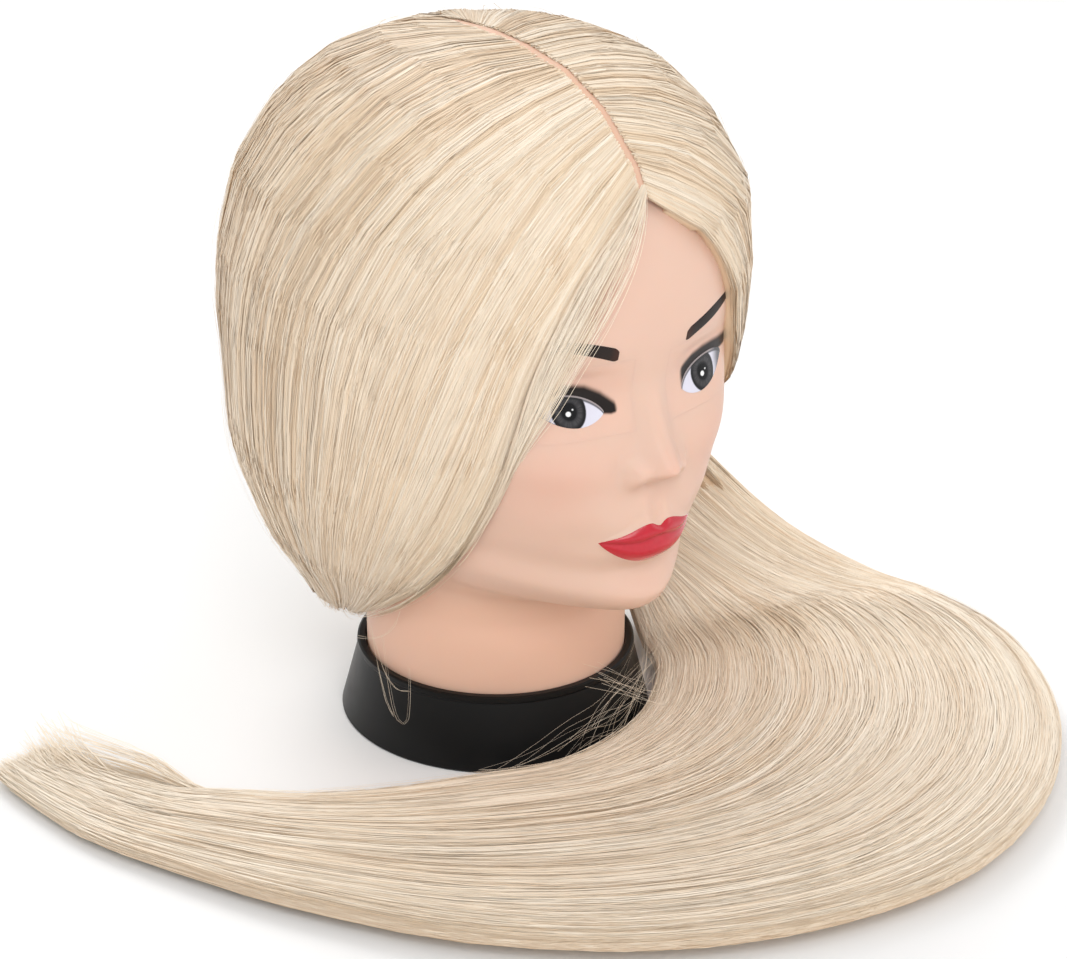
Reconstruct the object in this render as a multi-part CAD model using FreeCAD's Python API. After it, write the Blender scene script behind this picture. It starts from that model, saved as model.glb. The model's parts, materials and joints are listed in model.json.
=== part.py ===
import FreeCAD, Part
import math
import os

# Mannequin training head, in millimetres.
# The origin is the centre of the base's underside. +Z is up, the face looks along -Y,
# and +X is the mannequin's left.

V = FreeCAD.Vector
os.makedirs("parts", exist_ok=True)

# ---- Base ----
neck_radius = 53.3            # outside of the neck, where the skirt holds it
skirt_height = 31.0
skirt_wall = 2.6
skirt_slope = 7.0             # how much further out the foot is than the rim
rim_clearance = 0.5           # between the neck and the skirt's rim
rim_wall = 3.2
rim_lip = 2.2                 # height of the rolled lip
floor_height = 3.0            # underside of the floor inside the skirt
floor_thickness = 3.0

# ---- Clamp socket ----
bore_radius = 13.5
bore_depth = 60.0
socket_wall = 3.0
socket_flange_radius = 25.0
socket_flange_thickness = 3.0
socket_clearance = 0.3        # round the socket, in the floor and in the core

# ---- Neck core ----
core_clearance = 0.3          # between the core and the inside of the neck
core_wall = 3.0
core_top_height = 46.0
core_rib_count = 4
core_rib_thickness = 2.4
boss_radius = 4.5
boss_circle_radius = 36.0

# ---- Screws that hold the core to the skirt's floor ----
screw_count = 4
screw_radius = 1.75
screw_head_radius = 3.6
screw_head_height = 2.0
screw_length = 16.0
screw_clearance = 0.25

# ---- Head skin ----
skin_wall = 3.0
neck_edge_height = 9.5        # the skin's lower edge, inside the skirt
head_half_width = 76.0
head_height = 283.0
face_reach = 94.5             # how far the brow stands in front of the origin
skull_reach = 100.0           # how far the back of the skull stands behind it
chin_reach = 95.0
chin_height = 78.0
mouth_height = 114.0
nose_height = 143.0
nose_length = 15.0            # how far the nose's tip stands out of the face
nose_half_width = 12.5
skin_rings = 44               # slices and points that the skin's surface is drawn through
ring_points = 44
eye_height = 170.5
eye_spacing = 33.0            # from the middle of the face to a pupil
brow_height = 191.0

# ---- Hair ----
hair_gap = 0.6                # between the skin and the hair's solids
lock_gap = 0.4                # between neighbouring locks
cap_thickness = 21.0          # hair's thickness over the side of the skull
crown_thickness = 4.0
hairline_height = 254.0
nape_height = 50.0            # underside of the hair behind the neck
tail_thickness = 20.0         # thickness of the hair that lies on the table
tail_clearance = 3.0          # between the skirt's foot and the hair that lies round it


# ---- Sizes that follow from the ones above ----
rim_inner_radius = neck_radius + rim_clearance
rim_outer_radius = rim_inner_radius + rim_wall
skirt_foot_radius = rim_outer_radius + skirt_slope
tail_inner_radius = skirt_foot_radius + tail_clearance
floor_top = floor_height + floor_thickness


def cylinder(radius, z0, z1, x=0.0, y=0.0):
    return Part.makeCylinder(radius, z1 - z0, V(x, y, z0))


def box(x0, x1, y0, y1, z0, z1):
    return Part.makeBox(x1 - x0, y1 - y0, z1 - z0, V(x0, y0, z0))


def revolved(points):
    """A solid turned about Z from a closed outline of (radius, z) points."""
    corners = [V(r, 0, z) for r, z in points]
    outline = Part.makePolygon(corners + [corners[0]])
    return Part.Face(outline).revolve(V(0, 0, 0), V(0, 0, 1), 360)


def spline(points, places):
    curve = Part.BSplineCurve()
    curve.interpolate(Points=points, Parameters=places)
    return curve


def solid_through(rings):
    """A solid whose side is one smooth surface through a list of closed flat rings of points."""
    rings = [ring + ring[:1] for ring in rings]
    around = [k / (len(rings[0]) - 1.0) for k in range(len(rings[0]))]
    along = [k / (len(rings) - 1.0) for k in range(len(rings))]
    ring_curves = [spline(ring, around) for ring in rings]
    columns = zip(*[curve.getPoles() for curve in ring_curves])
    column_curves = [spline(list(column), along) for column in columns]
    poles = [list(row) for row in zip(*[curve.getPoles() for curve in column_curves])]
    u = column_curves[0]
    v = ring_curves[0]
    surface = Part.BSplineSurface()
    surface.buildFromPolesMultsKnots(
        poles, u.getMultiplicities(), v.getMultiplicities(), u.getKnots(), v.getKnots(),
        False, False, u.Degree, v.Degree)
    ends = [Part.Face(Part.Wire([surface.uIso(place).toShape()])) for place in (0.0, 1.0)]
    shell = Part.makeShell([surface.toShape()] + ends)
    shell.sewShape()
    solid = Part.Solid(shell)
    if solid.Volume < 0:
        solid.reverse()
    return solid


def blend_rows(rows, t):
    """The row of values at place t along a list of rows, on a smooth curve through them."""
    last = len(rows) - 1
    i = min(int(t), last - 1)
    u = t - i
    p0 = rows[max(i - 1, 0)]
    p1 = rows[i]
    p2 = rows[i + 1]
    p3 = rows[min(i + 2, last)]
    out = []
    for a, b, c, d in zip(p0, p1, p2, p3):
        m1 = (c - a) / 2.0
        m2 = (d - b) / 2.0
        h1 = 2 * u ** 3 - 3 * u ** 2 + 1
        h2 = u ** 3 - 2 * u ** 2 + u
        h3 = -2 * u ** 3 + 3 * u ** 2
        h4 = u ** 3 - u ** 2
        out.append(h1 * b + h2 * m1 + h3 * c + h4 * m2)
    return out


def bump(distance):
    """A smooth hill: one at its middle, and nothing two or more widths away."""
    return math.exp(-distance * distance)


# ---- Head skin -------------------------------------------------------------

def head_stations():
    """Rows from the neck's edge to the crown. Each row is a tilted slice of the head:
    front y and z, back y and z, half width, front squareness, front taper."""
    w = head_half_width
    neck = neck_radius
    rise = head_height - brow_height
    skull = skull_reach
    face = face_reach
    jaw = chin_height
    return [
        [-neck, neck_edge_height, neck, neck_edge_height, neck, 2.0, 0.0],
        [-neck, core_top_height, neck, core_top_height, neck, 2.0, 0.0],
        [-neck + 2.0, jaw - 17, neck + 0.8, jaw - 15, neck, 2.0, 0.0],
        [-neck - 2, jaw - 6, neck + 4, jaw, neck + 1.5, 2.0, 0.02],
        [-chin_reach + 22, jaw - 2, skull - 38, jaw + 17, w - 19, 2.0, 0.3],
        [-chin_reach + 7, jaw, skull - 32, jaw + 30, w - 16.5, 2.0, 0.44],
        [-chin_reach, jaw + 8, skull - 26, jaw + 43, w - 13.5, 2.05, 0.36],
        [-chin_reach + 2, jaw + 19, skull - 19, jaw + 55, w - 11, 2.1, 0.27],
        [-face - 2, mouth_height - 7, skull - 13, mouth_height + 30, w - 9, 2.15, 0.2],
        [-face - 3.5, mouth_height + 5, skull - 9, mouth_height + 41, w - 7, 2.25, 0.13],
        [-face - 1.5, nose_height - 11, skull - 5, nose_height + 21, w - 4.5, 2.4, 0.06],
        [-face - 1.5, nose_height + 1, skull - 2.5, nose_height + 31, w - 2.5, 2.55, 0.02],
        [-face + 0.5, eye_height - 13, skull - 0.5, eye_height + 13, w - 1.5, 2.7, 0.0],
        [-face + 1, eye_height + 2, skull, eye_height + 23, w - 0.5, 2.7, 0.0],
        [-face, brow_height, skull, brow_height + 15, w, 2.6, 0.0],
        [-face + 0.5, brow_height + rise * 0.23, skull - 3, brow_height + rise * 0.32,
         w - 0.5, 2.45, 0.0],
        [-face + 7.5, brow_height + rise * 0.49, skull - 11, brow_height + rise * 0.52,
         w - 5, 2.3, 0.0],
        [-face + 23.5, brow_height + rise * 0.73, skull - 26, brow_height + rise * 0.73,
         w * 0.79, 2.2, 0.0],
        [-face + 48, brow_height + rise * 0.89, skull - 48, brow_height + rise * 0.89,
         w * 0.57, 2.1, 0.0],
        [-face + 71, brow_height + rise * 0.975, skull - 72, brow_height + rise * 0.975,
         w * 0.32, 2.0, 0.0],
        [-face + 85, head_height, skull - 88, head_height, w * 0.12, 2.0, 0.0],
    ]


def face_relief(x, z):
    """How far the features stand out of the plain head, at a point of the face's front."""
    side = abs(x)
    nose_top = eye_height + 4
    out = 0.0
    # the bridge grows from between the eyes down to the tip, and ends sharply under it
    if nose_height - 9 < z < nose_top:
        down = (nose_top - z) / (nose_top - nose_height)
        reach = nose_length * min(down, 1.0) ** 1.4
        if z < nose_height:
            reach *= math.cos((nose_height - z) / 9.0 * math.pi / 2) ** 0.7
        width = nose_half_width * (0.42 + 0.3 * min(down, 1.0))
        out += reach * bump(side / width)
    # wings of the nose
    out += 4.5 * bump((side - nose_half_width + 2) / 5.0) * bump((z - nose_height + 2) / 6.0)
    # eye sockets and eyeballs
    out -= 5.0 * bump((side - eye_spacing + 8) / 18.0) * bump((z - eye_height) / 12.0)
    out += 4.0 * bump((side - eye_spacing) / 12.0) * bump((z - eye_height) / 9.0)
    # lips, the fold under them and the chin
    out += 5.0 * bump(side / 17.0) * bump((z - mouth_height - 4.5) / 4.0)
    out += 5.5 * bump(side / 15.0) * bump((z - mouth_height + 7) / 5.0)
    out -= 2.0 * bump(side / 18.0) * bump((z - chin_height - 20) / 4.5)
    out += 2.0 * bump(side / 14.0) * bump((z - chin_height - 9) / 8.0)
    return out


def head_section(row, grow, count, with_face):
    front_y, front_z, back_y, back_z, half_width, square, taper = row
    length = math.hypot(back_y - front_y, back_z - front_z) / 2.0
    along = V(0, front_y - back_y, front_z - back_z).normalize()
    middle = V(0, (front_y + back_y) / 2.0, (front_z + back_z) / 2.0)
    half_length = length + grow
    half_width = half_width + grow
    points = []
    for k in range(count):
        turn = math.pi + 2 * math.pi * k / count
        angle = turn - 0.45 * math.sin(turn)
        c = math.cos(angle)
        s = math.sin(angle)
        power = 2.0 / (2.0 + (square - 2.0) * (1 + c) / 2.0)
        reach = math.copysign(abs(c) ** power, c) * half_length
        side = math.copysign(abs(s) ** power, s) * half_width
        side *= 1 - taper * max(c, 0.0) ** 2
        p = middle + along * reach + V(side, 0, 0)
        if with_face and c > 0:
            p.y -= face_relief(p.x, p.z) * min(c * 2.5, 1.0)
        points.append(p)
    return points


def head_solid(grow, samples, count, with_face=False, base_z=None):
    rows = head_stations()
    last = len(rows) - 1
    if base_z is not None:
        rows[0][1] = base_z
        rows[0][3] = base_z
    rings = []
    for k in range(samples + 1):
        row = blend_rows(rows, last * k / samples)
        row[1] += grow * (k / samples) ** 3
        row[3] += grow * (k / samples) ** 3
        rings.append(head_section(row, grow, count, with_face))
    return solid_through(rings)


def make_head_skin():
    outer = head_solid(0.0, skin_rings, ring_points, with_face=True)
    inner = head_solid(-skin_wall, 22, 24, base_z=neck_edge_height - 2)
    return outer.cut(inner)


# ---- Base pieces -----------------------------------------------------------

def screw_places():
    for k in range(screw_count):
        a = 2 * math.pi * (k + 0.5) / screw_count
        yield boss_circle_radius * math.cos(a), boss_circle_radius * math.sin(a)


def make_base_skirt():
    rim_inner = rim_inner_radius
    rim_outer = rim_outer_radius
    top = skirt_height
    lip_foot = top - rim_lip
    shell = revolved([
        (skirt_foot_radius - skirt_wall, 0), (skirt_foot_radius - 0.6, 0),
        (skirt_foot_radius, 0.8), (rim_outer, lip_foot - 1), (rim_outer + 0.5, lip_foot),
        (rim_outer + 0.3, top - 0.5), (rim_outer - 0.5, top), (rim_inner + 0.5, top),
        (rim_inner, top - 0.5), (rim_inner, lip_foot),
        (rim_outer - skirt_wall, lip_foot - 1)])
    web = cylinder(skirt_foot_radius - skirt_wall, floor_height, floor_top)
    solid = shell.fuse(web)
    solid = solid.cut(cylinder(bore_radius + socket_wall + socket_clearance, -1, floor_top + 1))
    for x, y in screw_places():
        solid = solid.cut(cylinder(screw_radius + screw_clearance, -1, floor_top + 1, x, y))
    return solid.removeSplitter()


def make_clamp_socket():
    outer = bore_radius + socket_wall
    tube = cylinder(outer, 0, bore_depth + socket_wall)
    flange = cylinder(socket_flange_radius, floor_top, floor_top + socket_flange_thickness)
    return tube.fuse(flange).cut(cylinder(bore_radius, -1, bore_depth)).removeSplitter()


def make_neck_core():
    radius = neck_radius - skin_wall - core_clearance
    hub_inner = bore_radius + socket_wall + socket_clearance
    hub_outer = hub_inner + core_wall
    flange_pocket = socket_flange_radius + socket_clearance
    pocket_top = floor_top + socket_flange_thickness
    cup = cylinder(radius, floor_top, core_top_height)
    cup = cup.cut(cylinder(radius - core_wall, floor_top - 1, core_top_height - core_wall))
    hub = cylinder(hub_outer, floor_top, core_top_height)
    solid = cup.fuse(hub)
    for k in range(core_rib_count):
        rib = box(hub_inner, radius - 1, -core_rib_thickness / 2, core_rib_thickness / 2,
                  pocket_top, core_top_height - 1)
        rib.rotate(V(0, 0, 0), V(0, 0, 1), 360.0 * k / core_rib_count)
        solid = solid.fuse(rib)
    for x, y in screw_places():
        solid = solid.fuse(cylinder(boss_radius, floor_top, core_top_height - 1, x, y))
    solid = solid.cut(cylinder(hub_inner, floor_top - 1, core_top_height + 1))
    solid = solid.cut(cylinder(flange_pocket, floor_top - 1, pocket_top))
    for x, y in screw_places():
        solid = solid.cut(cylinder(screw_radius, floor_top - 1, floor_top + screw_length, x, y))
    return solid.removeSplitter()


def make_base_screws():
    screws = []
    for x, y in screw_places():
        head = cylinder(screw_head_radius, floor_height - screw_head_height, floor_height, x, y)
        shank = cylinder(screw_radius, floor_height - 0.5,
                         floor_top + screw_length - 2, x, y)
        slot = box(x - screw_head_radius, x + screw_head_radius, y - 0.5, y + 0.5,
                   floor_height - screw_head_height - 1, floor_height - screw_head_height + 1)
        screws.append(head.fuse(shank).cut(slot).removeSplitter())
    return Part.makeCompound(screws)


# ---- Hair on the head ------------------------------------------------------

def cap_rows():
    """Level slices of the whole cap of hair, upwards:
    height, front y, back y, half width, squareness."""
    w = head_half_width + cap_thickness
    back = skull_reach + cap_thickness
    front = face_reach + 6
    top = head_height + crown_thickness
    nape = nape_height
    return [
        [nape, -2, neck_radius + 19, neck_radius + 7, 2.1],
        [nape + 10, -24, neck_radius + 28, neck_radius + 14, 2.2],
        [nape + 28, -48, back - 28, w - 21, 2.2],
        [chin_height + 23, -front + 33, back - 17, w - 12, 2.2],
        [mouth_height + 6, -front + 24, back - 10, w - 6, 2.2],
        [nose_height + 4, -front + 10, back - 4, w - 1, 2.2],
        [eye_height + 2, -front + 4, back - 1, w + 1, 2.2],
        [brow_height + 9, -front, back - 2, w, 2.2],
        [hairline_height - 24, -front + 4, back - 10, w - 6, 2.2],
        [hairline_height + 2, -front + 18, back - 26, w - 19, 2.15],
        [top - 14, -front + 38, back - 47, w - 35, 2.1],
        [top - 4, -front + 60, back - 70, w - 57, 2.0],
        [top, -front + 84, back - 94, w - 84, 2.0],
    ]


def cap_solid(grow):
    rings = []
    rows = cap_rows()
    samples = 2 * (len(rows) - 1)
    for k in range(samples + 1):
        height, front_y, back_y, half_width, square = blend_rows(rows, k / 2.0)
        height += grow * (2.0 * k / samples - 1)
        middle = (front_y + back_y) / 2.0
        half_length = (back_y - front_y) / 2.0 + grow
        points = []
        for n in range(28):
            a = 2 * math.pi * n / 28
            c = math.cos(a)
            s = math.sin(a)
            x = math.copysign(abs(s) ** (2.0 / square), s) * (half_width + grow)
            y = middle - math.copysign(abs(c) ** (2.0 / square), c) * half_length
            points.append(V(x, y, height))
        rings.append(points)
    return solid_through(rings)


def outline_prism(points, direction):
    wire = Part.makePolygon(points + [points[0]])
    return Part.Face(wire).extrude(direction)


def face_window():
    """The space in front of the face and neck that holds no hair."""
    reach = -face_reach - 60
    inner = eye_spacing + 14
    front = outline_prism([
        V(0, reach, hairline_height), V(-28, reach, hairline_height - 24),
        V(-inner, reach, eye_height + 2), V(-inner - 5, reach, chin_height + 22),
        V(-inner - 5, reach, 0), V(inner + 22, reach, 0),
        V(inner + 22, reach, nose_height + 5), V(inner + 15, reach, brow_height + 6),
        V(32, reach, hairline_height - 22)], V(0, -reach + 20, 0))
    wide = head_half_width + cap_thickness + 20
    right = outline_prism([
        V(-wide, -front_edge_y(147), 147), V(-wide, -front_edge_y(101), 101),
        V(-wide, -front_edge_y(78), 78), V(-wide, -front_edge_y(45), 45),
        V(-wide, reach, 0), V(-wide, reach, 147)], V(wide, 0, 0))
    left = outline_prism([
        V(wide, -66, 170), V(wide, -44, 140), V(wide, -12, 110), V(wide, 14, 80),
        V(wide, 24, 40), V(wide, reach, 0), V(wide, reach, 170)], V(-wide, 0, 0))
    return front.fuse(right).fuse(left)


def front_edge_y(height):
    """How far in front of the axis the right side's hair reaches, at a height."""
    rows = [[45, -24.0], [78, 22.0], [101, 50.0], [147, 78.0]]
    for (z0, y0), (z1, y1) in zip(rows, rows[1:]):
        if z0 <= height <= z1:
            return y0 + (y1 - y0) * (height - z0) / (z1 - z0)
    return rows[-1][1]


def cap_locks():
    """The cap of hair, cut at the parting, behind the ears and above the nape."""
    whole = cap_solid(0.0).cut(head_solid(hair_gap, skin_rings, ring_points)).cut(face_window())
    far = 400.0
    half = lock_gap / 2.0
    ear_y = 12.0
    nape_top = chin_height - 6.0
    cells = {
        "hair_right_front": box(-far, -half, -far, ear_y - half, nape_top + half, far),
        "hair_left_front": box(half, far, -far, ear_y - half, nape_top + half, far),
        "hair_right_back": box(-far, -half, ear_y + half, far, nape_top + half, far),
        "hair_left_back": box(half, far, ear_y + half, far, nape_top + half, far),
        "hair_nape": box(-far, far, -far, far, 0, nape_top - half),
    }
    locks = {}
    for name, cell in cells.items():
        lock = whole.common(cell)
        biggest = max(lock.Solids, key=lambda s: s.Volume)
        locks[name] = biggest
    return locks


# ---- Hair that falls and lies on the table ---------------------------------

def round_base(angle, radius):
    """The x and y of a point seen from above, at an angle clockwise from +X."""
    a = math.radians(angle)
    return [radius * math.cos(a), -radius * math.sin(a)]


def tail_rows():
    """Slices across the flowing hair, from the head to the tips:
    outer edge x, y, z, inner edge x, y, z, thickness."""
    near = tail_inner_radius
    thick = tail_thickness
    lie = thick / 2.0 + 0.4
    falling = [
        [80, 14, 124] + round_base(-37, near + 10) + [72, thick],
        [111, -8, 82] + round_base(-26, near + 11) + [50, thick + 2],
        [149, -25, 42] + round_base(-9, near + 11) + [28, thick + 3],
    ]
    # outer edge's angle and radius, inner edge's angle and radius, thinning
    lying = [
        [15, 205, 10, near + 6, 0],
        [27, 220, 31, near + 5, 0],
        [38, 228, 48, near + 6, 0],
        [51, 234, 66, near + 7, 0],
        [65, 236, 82, near + 9, 0],
        [80, 233, 99, near + 10, 0],
        [96, 222, 117, near + 15, 1],
        [113, 209, 136, near + 21, 2],
        [131, 196, 152, near + 37, 3],
        [149, 187, 165, near + 55, 5],
        [164, 187, 176, near + 71, 8],
        [180, 196, 184, near + 90, 11],
        [194, 203, 196, near + 118, 14],
    ]
    rows = list(falling)
    for outer_angle, outer_radius, inner_angle, inner_radius, thin in lying:
        outer = round_base(outer_angle, outer_radius)
        inner = round_base(inner_angle, inner_radius)
        z = lie - thin / 2.0
        rows.append(outer + [z] + inner + [z] + [thick - thin])
    return rows


def tail_section(row, flow):
    ox, oy, oz, ix, iy, iz, thick = row
    outer = V(ox, oy, oz)
    inner = V(ix, iy, iz)
    across = (outer - inner) * 0.5
    middle = (outer + inner) * 0.5
    up = flow.cross(across).normalize() * (thick / 2.0)
    points = []
    for n in range(20):
        a = 2 * math.pi * n / 20
        c = math.cos(a)
        s = math.sin(a)
        wide = math.copysign(abs(c) ** 0.85, c)
        high = math.copysign(abs(s) ** 0.9, s)
        points.append(middle + across * wide + up * high)
    return points


def tail_piece(first, last):
    rows = tail_rows()
    rings = []
    for k in range(first, last + 1):
        a = rows[max(k - 1, 0)]
        b = rows[min(k + 1, len(rows) - 1)]
        flow = V(b[0] + b[3] - a[0] - a[3], b[1] + b[4] - a[1] - a[4], b[2] + b[5] - a[2] - a[5])
        rings.append(tail_section(rows[k], flow))
    return solid_through(rings)


def tail_locks():
    floor = box(-400, 400, -400, 400, -60, 0.2)
    keep_out = cap_solid(lock_gap)
    base = cylinder(skirt_foot_radius + lock_gap, -1, skirt_height + 1)
    neck = cylinder(neck_radius + 1, 0, chin_height)
    spans = {
        "hair_fall": (0, 3),
        "hair_sweep_side": (3, 6),
        "hair_sweep_corner": (6, 9),
        "hair_sweep_front": (9, 12),
        "hair_tips": (12, 15),
    }
    locks = {}
    for name, (first, last) in spans.items():
        piece = tail_piece(first, last).cut(floor)
        if first < 6:
            piece = piece.cut(keep_out).cut(base).cut(neck)
        locks[name] = max(piece.Solids, key=lambda s: s.Volume)
    return locks


# ---- All the pieces --------------------------------------------------------

def make_parts():
    parts = {
        "base_skirt": make_base_skirt(),
        "neck_core": make_neck_core(),
        "clamp_socket": make_clamp_socket(),
        "base_screws": make_base_screws(),
        "head_skin": make_head_skin(),
    }
    parts.update(cap_locks())
    parts.update(tail_locks())
    return parts


for name, shape in make_parts().items():
    shape.exportStep("parts/%s.step" % name)
    bb = shape.BoundBox
    print("%-18s %8.1f cm3  x %6.1f %6.1f  y %6.1f %6.1f  z %6.1f %6.1f  solids %d  valid %s" % (
        name, shape.Volume / 1000, bb.XMin, bb.XMax, bb.YMin, bb.YMax, bb.ZMin, bb.ZMax,
        len(shape.Solids), shape.isValid()))
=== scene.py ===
import bpy
import json
import math
import numpy as np
from mathutils import Matrix, Vector

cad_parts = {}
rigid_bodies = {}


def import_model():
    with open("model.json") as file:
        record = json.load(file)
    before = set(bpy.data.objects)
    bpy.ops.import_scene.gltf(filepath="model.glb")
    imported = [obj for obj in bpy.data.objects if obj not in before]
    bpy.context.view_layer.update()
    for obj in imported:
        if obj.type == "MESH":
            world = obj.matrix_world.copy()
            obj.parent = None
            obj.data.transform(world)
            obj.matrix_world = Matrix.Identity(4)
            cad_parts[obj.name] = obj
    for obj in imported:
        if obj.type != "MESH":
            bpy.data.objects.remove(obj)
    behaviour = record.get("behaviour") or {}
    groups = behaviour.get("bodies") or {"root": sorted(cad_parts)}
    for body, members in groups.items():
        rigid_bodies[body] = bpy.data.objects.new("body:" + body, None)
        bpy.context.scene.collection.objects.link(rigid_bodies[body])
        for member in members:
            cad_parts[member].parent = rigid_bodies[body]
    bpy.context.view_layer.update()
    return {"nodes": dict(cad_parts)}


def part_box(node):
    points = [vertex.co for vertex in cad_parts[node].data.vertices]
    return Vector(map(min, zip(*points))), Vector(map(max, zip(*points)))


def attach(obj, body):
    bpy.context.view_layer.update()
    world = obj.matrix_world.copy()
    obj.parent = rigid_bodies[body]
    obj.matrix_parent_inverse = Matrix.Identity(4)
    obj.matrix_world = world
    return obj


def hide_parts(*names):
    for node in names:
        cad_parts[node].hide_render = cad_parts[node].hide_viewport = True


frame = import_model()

millimetre = 0.001
body = "root"

view = {
    "azimuth": -38.9,        # degrees, from the front towards the mannequin's right
    "elevation": 24.4,
    "roll": 0.57,
    "distance": 1.196,       # metres from the point looked at
    "lookAt": (0.0, -0.024, 0.109),
    "lens": 101.2,
    "sensor": 36.0,
    "farthest": 50.0,
}
studio = {
    "floorSize": 6.0,
    "floorTone": 0.93,
    "skyTone": 1.0,
    "skyStrength": 0.69,
    # place, aimed-at point, size and power of each soft box
    "boxes": [
        ((-0.9, -1.5, 1.5), (0.0, 0.0, 0.12), 1.2, 19.5),
        ((1.5, -1.0, 1.1), (0.0, 0.0, 0.15), 1.3, 5.5),
        ((0.3, 1.3, 1.6), (0.0, 0.0, 0.2), 1.0, 14.0),
    ],
}


def addCamera():
    a = math.radians(view["azimuth"])
    e = math.radians(view["elevation"])
    back = Vector((math.sin(a) * math.cos(e), -math.cos(a) * math.cos(e), math.sin(e)))
    right = Vector((math.cos(a), math.sin(a), 0.0))
    up = back.cross(right)
    turn = math.radians(view["roll"])
    tiltedRight = right * math.cos(turn) + up * math.sin(turn)
    tiltedUp = up * math.cos(turn) - right * math.sin(turn)
    camera = bpy.data.objects.new("camera", bpy.data.cameras.new("camera"))
    camera.data.lens = view["lens"]
    camera.data.sensor_width = view["sensor"]
    camera.data.clip_end = view["farthest"]
    place = Vector(view["lookAt"]) + back * view["distance"]
    rows = Matrix((tiltedRight, tiltedUp, back)).transposed().to_4x4()
    camera.matrix_world = Matrix.Translation(place) @ rows
    bpy.context.scene.collection.objects.link(camera)
    bpy.context.scene.camera = camera


def addStudio():
    half = studio["floorSize"] / 2.0
    mesh = bpy.data.meshes.new("floor")
    mesh.from_pydata([(-half, -half, 0), (half, -half, 0), (half, half, 0), (-half, half, 0)],
                     [], [(0, 1, 2, 3)])
    floor = bpy.data.objects.new("floor", mesh)
    bpy.context.scene.collection.objects.link(floor)
    paint = bpy.data.materials.new("floorPaint")
    paint.use_nodes = True
    shader = paint.node_tree.nodes["Principled BSDF"]
    tone = studio["floorTone"]
    shader.inputs["Base Color"].default_value = (tone, tone, tone, 1.0)
    shader.inputs["Roughness"].default_value = 0.9
    mesh.materials.append(paint)
    world = bpy.data.worlds.new("studioSky")
    world.use_nodes = True
    sky = world.node_tree.nodes["Background"]
    sky.inputs["Color"].default_value = (studio["skyTone"],) * 3 + (1.0,)
    sky.inputs["Strength"].default_value = studio["skyStrength"]
    bpy.context.scene.world = world
    for number, (place, target, size, power) in enumerate(studio["boxes"]):
        light = bpy.data.lights.new("softBox%d" % number, "AREA")
        light.size = size
        light.energy = power
        lamp = bpy.data.objects.new("softBox%d" % number, light)
        aim = Vector(target) - Vector(place)
        lamp.location = place
        lamp.rotation_euler = aim.to_track_quat("-Z", "Y").to_euler()
        bpy.context.scene.collection.objects.link(lamp)
    bpy.context.scene.view_settings.view_transform = "Standard"


addCamera()
addStudio()
print("camera, floor and lights are in place")


def addMesh(name, points, quads, material, triangles=np.empty((0, 3))):
    # points: any array of (x, y, z) in millimetres; quads, then triangles: rows of vertex numbers
    mesh = bpy.data.meshes.new(name)
    places = (np.reshape(points, (-1, 3)) * millimetre).astype(np.float32)
    corners = np.concatenate([quads.ravel(), triangles.ravel()]).astype(np.int32)
    sizes = np.repeat([4, 3], [len(quads), len(triangles)]).astype(np.int32)
    mesh.vertices.add(len(places))
    mesh.vertices.foreach_set("co", places.ravel())
    mesh.loops.add(len(corners))
    mesh.loops.foreach_set("vertex_index", corners)
    mesh.polygons.add(len(sizes))
    mesh.polygons.foreach_set("loop_start", (np.cumsum(sizes) - sizes).astype(np.int32))
    mesh.polygons.foreach_set("loop_total", sizes)
    mesh.update(calc_edges=True)
    mesh.polygons.foreach_set("use_smooth", np.full(len(sizes), True))
    mesh.materials.append(material)
    piece = bpy.data.objects.new(name, mesh)
    bpy.context.scene.collection.objects.link(piece)
    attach(piece, body)
    return piece


def gridFaces(rows, columns, closeColumns=False, flip=False):
    # quads of a grid of points stored row by row; the last column joins the first if closed
    r = np.arange(rows - 1)[:, None]
    c = np.arange(columns if closeColumns else columns - 1)[None, :]
    nextColumn = (c + 1) % columns
    quads = np.stack([r * columns + c, r * columns + nextColumn,
                      (r + 1) * columns + nextColumn, (r + 1) * columns + c], axis=-1)
    quads = quads.reshape(-1, 4)
    return quads[:, ::-1] if flip else quads


def setAttribute(piece, name, values):
    layer = piece.data.attributes.new(name, "FLOAT", "POINT")
    layer.data.foreach_set("value", np.asarray(values, dtype=np.float32).ravel())


def setTint(piece, name, colours):
    layer = piece.data.attributes.new(name, "FLOAT_COLOR", "POINT")
    rgba = np.ones((len(piece.data.vertices), 4), dtype=np.float32)
    rgba[:, :3] = np.asarray(colours, dtype=np.float32).reshape(-1, 3)
    layer.data.foreach_set("color", rgba.ravel())


def hill(distance):
    # one in the middle and nearly nothing two widths away
    return np.exp(-np.square(distance))


def step(edge0, edge1, value):
    # a smooth rise from nothing at edge0 to one at edge1
    t = np.clip((value - edge0) / (edge1 - edge0), 0.0, 1.0)
    return t * t * (3.0 - 2.0 * t)


def blended(low, high, amount):
    # colours between low and high, by an amount from nothing to one at each point
    amount = amount[..., None]
    return np.asarray(low) * (1 - amount) + np.asarray(high) * amount


def smoothRows(table, places):
    # rows of numbers read at fractional places, on a Catmull-Rom curve through them
    table = np.asarray(table, dtype=float)
    last = len(table) - 1
    i = np.clip(np.floor(places).astype(int), 0, last - 1)
    shape = np.shape(places) + (1,) * (table.ndim - 1)
    u = np.reshape(places - i, shape)
    before = table[np.maximum(i - 1, 0)]
    here = table[i]
    there = table[i + 1]
    after = table[np.minimum(i + 2, last)]
    m1 = (there - before) / 2.0
    m2 = (after - here) / 2.0
    return ((2 * u**3 - 3 * u**2 + 1) * here + (u**3 - 2 * u**2 + u) * m1
            + (3 * u**2 - 2 * u**3) * there + (u**3 - u**2) * m2)


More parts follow.
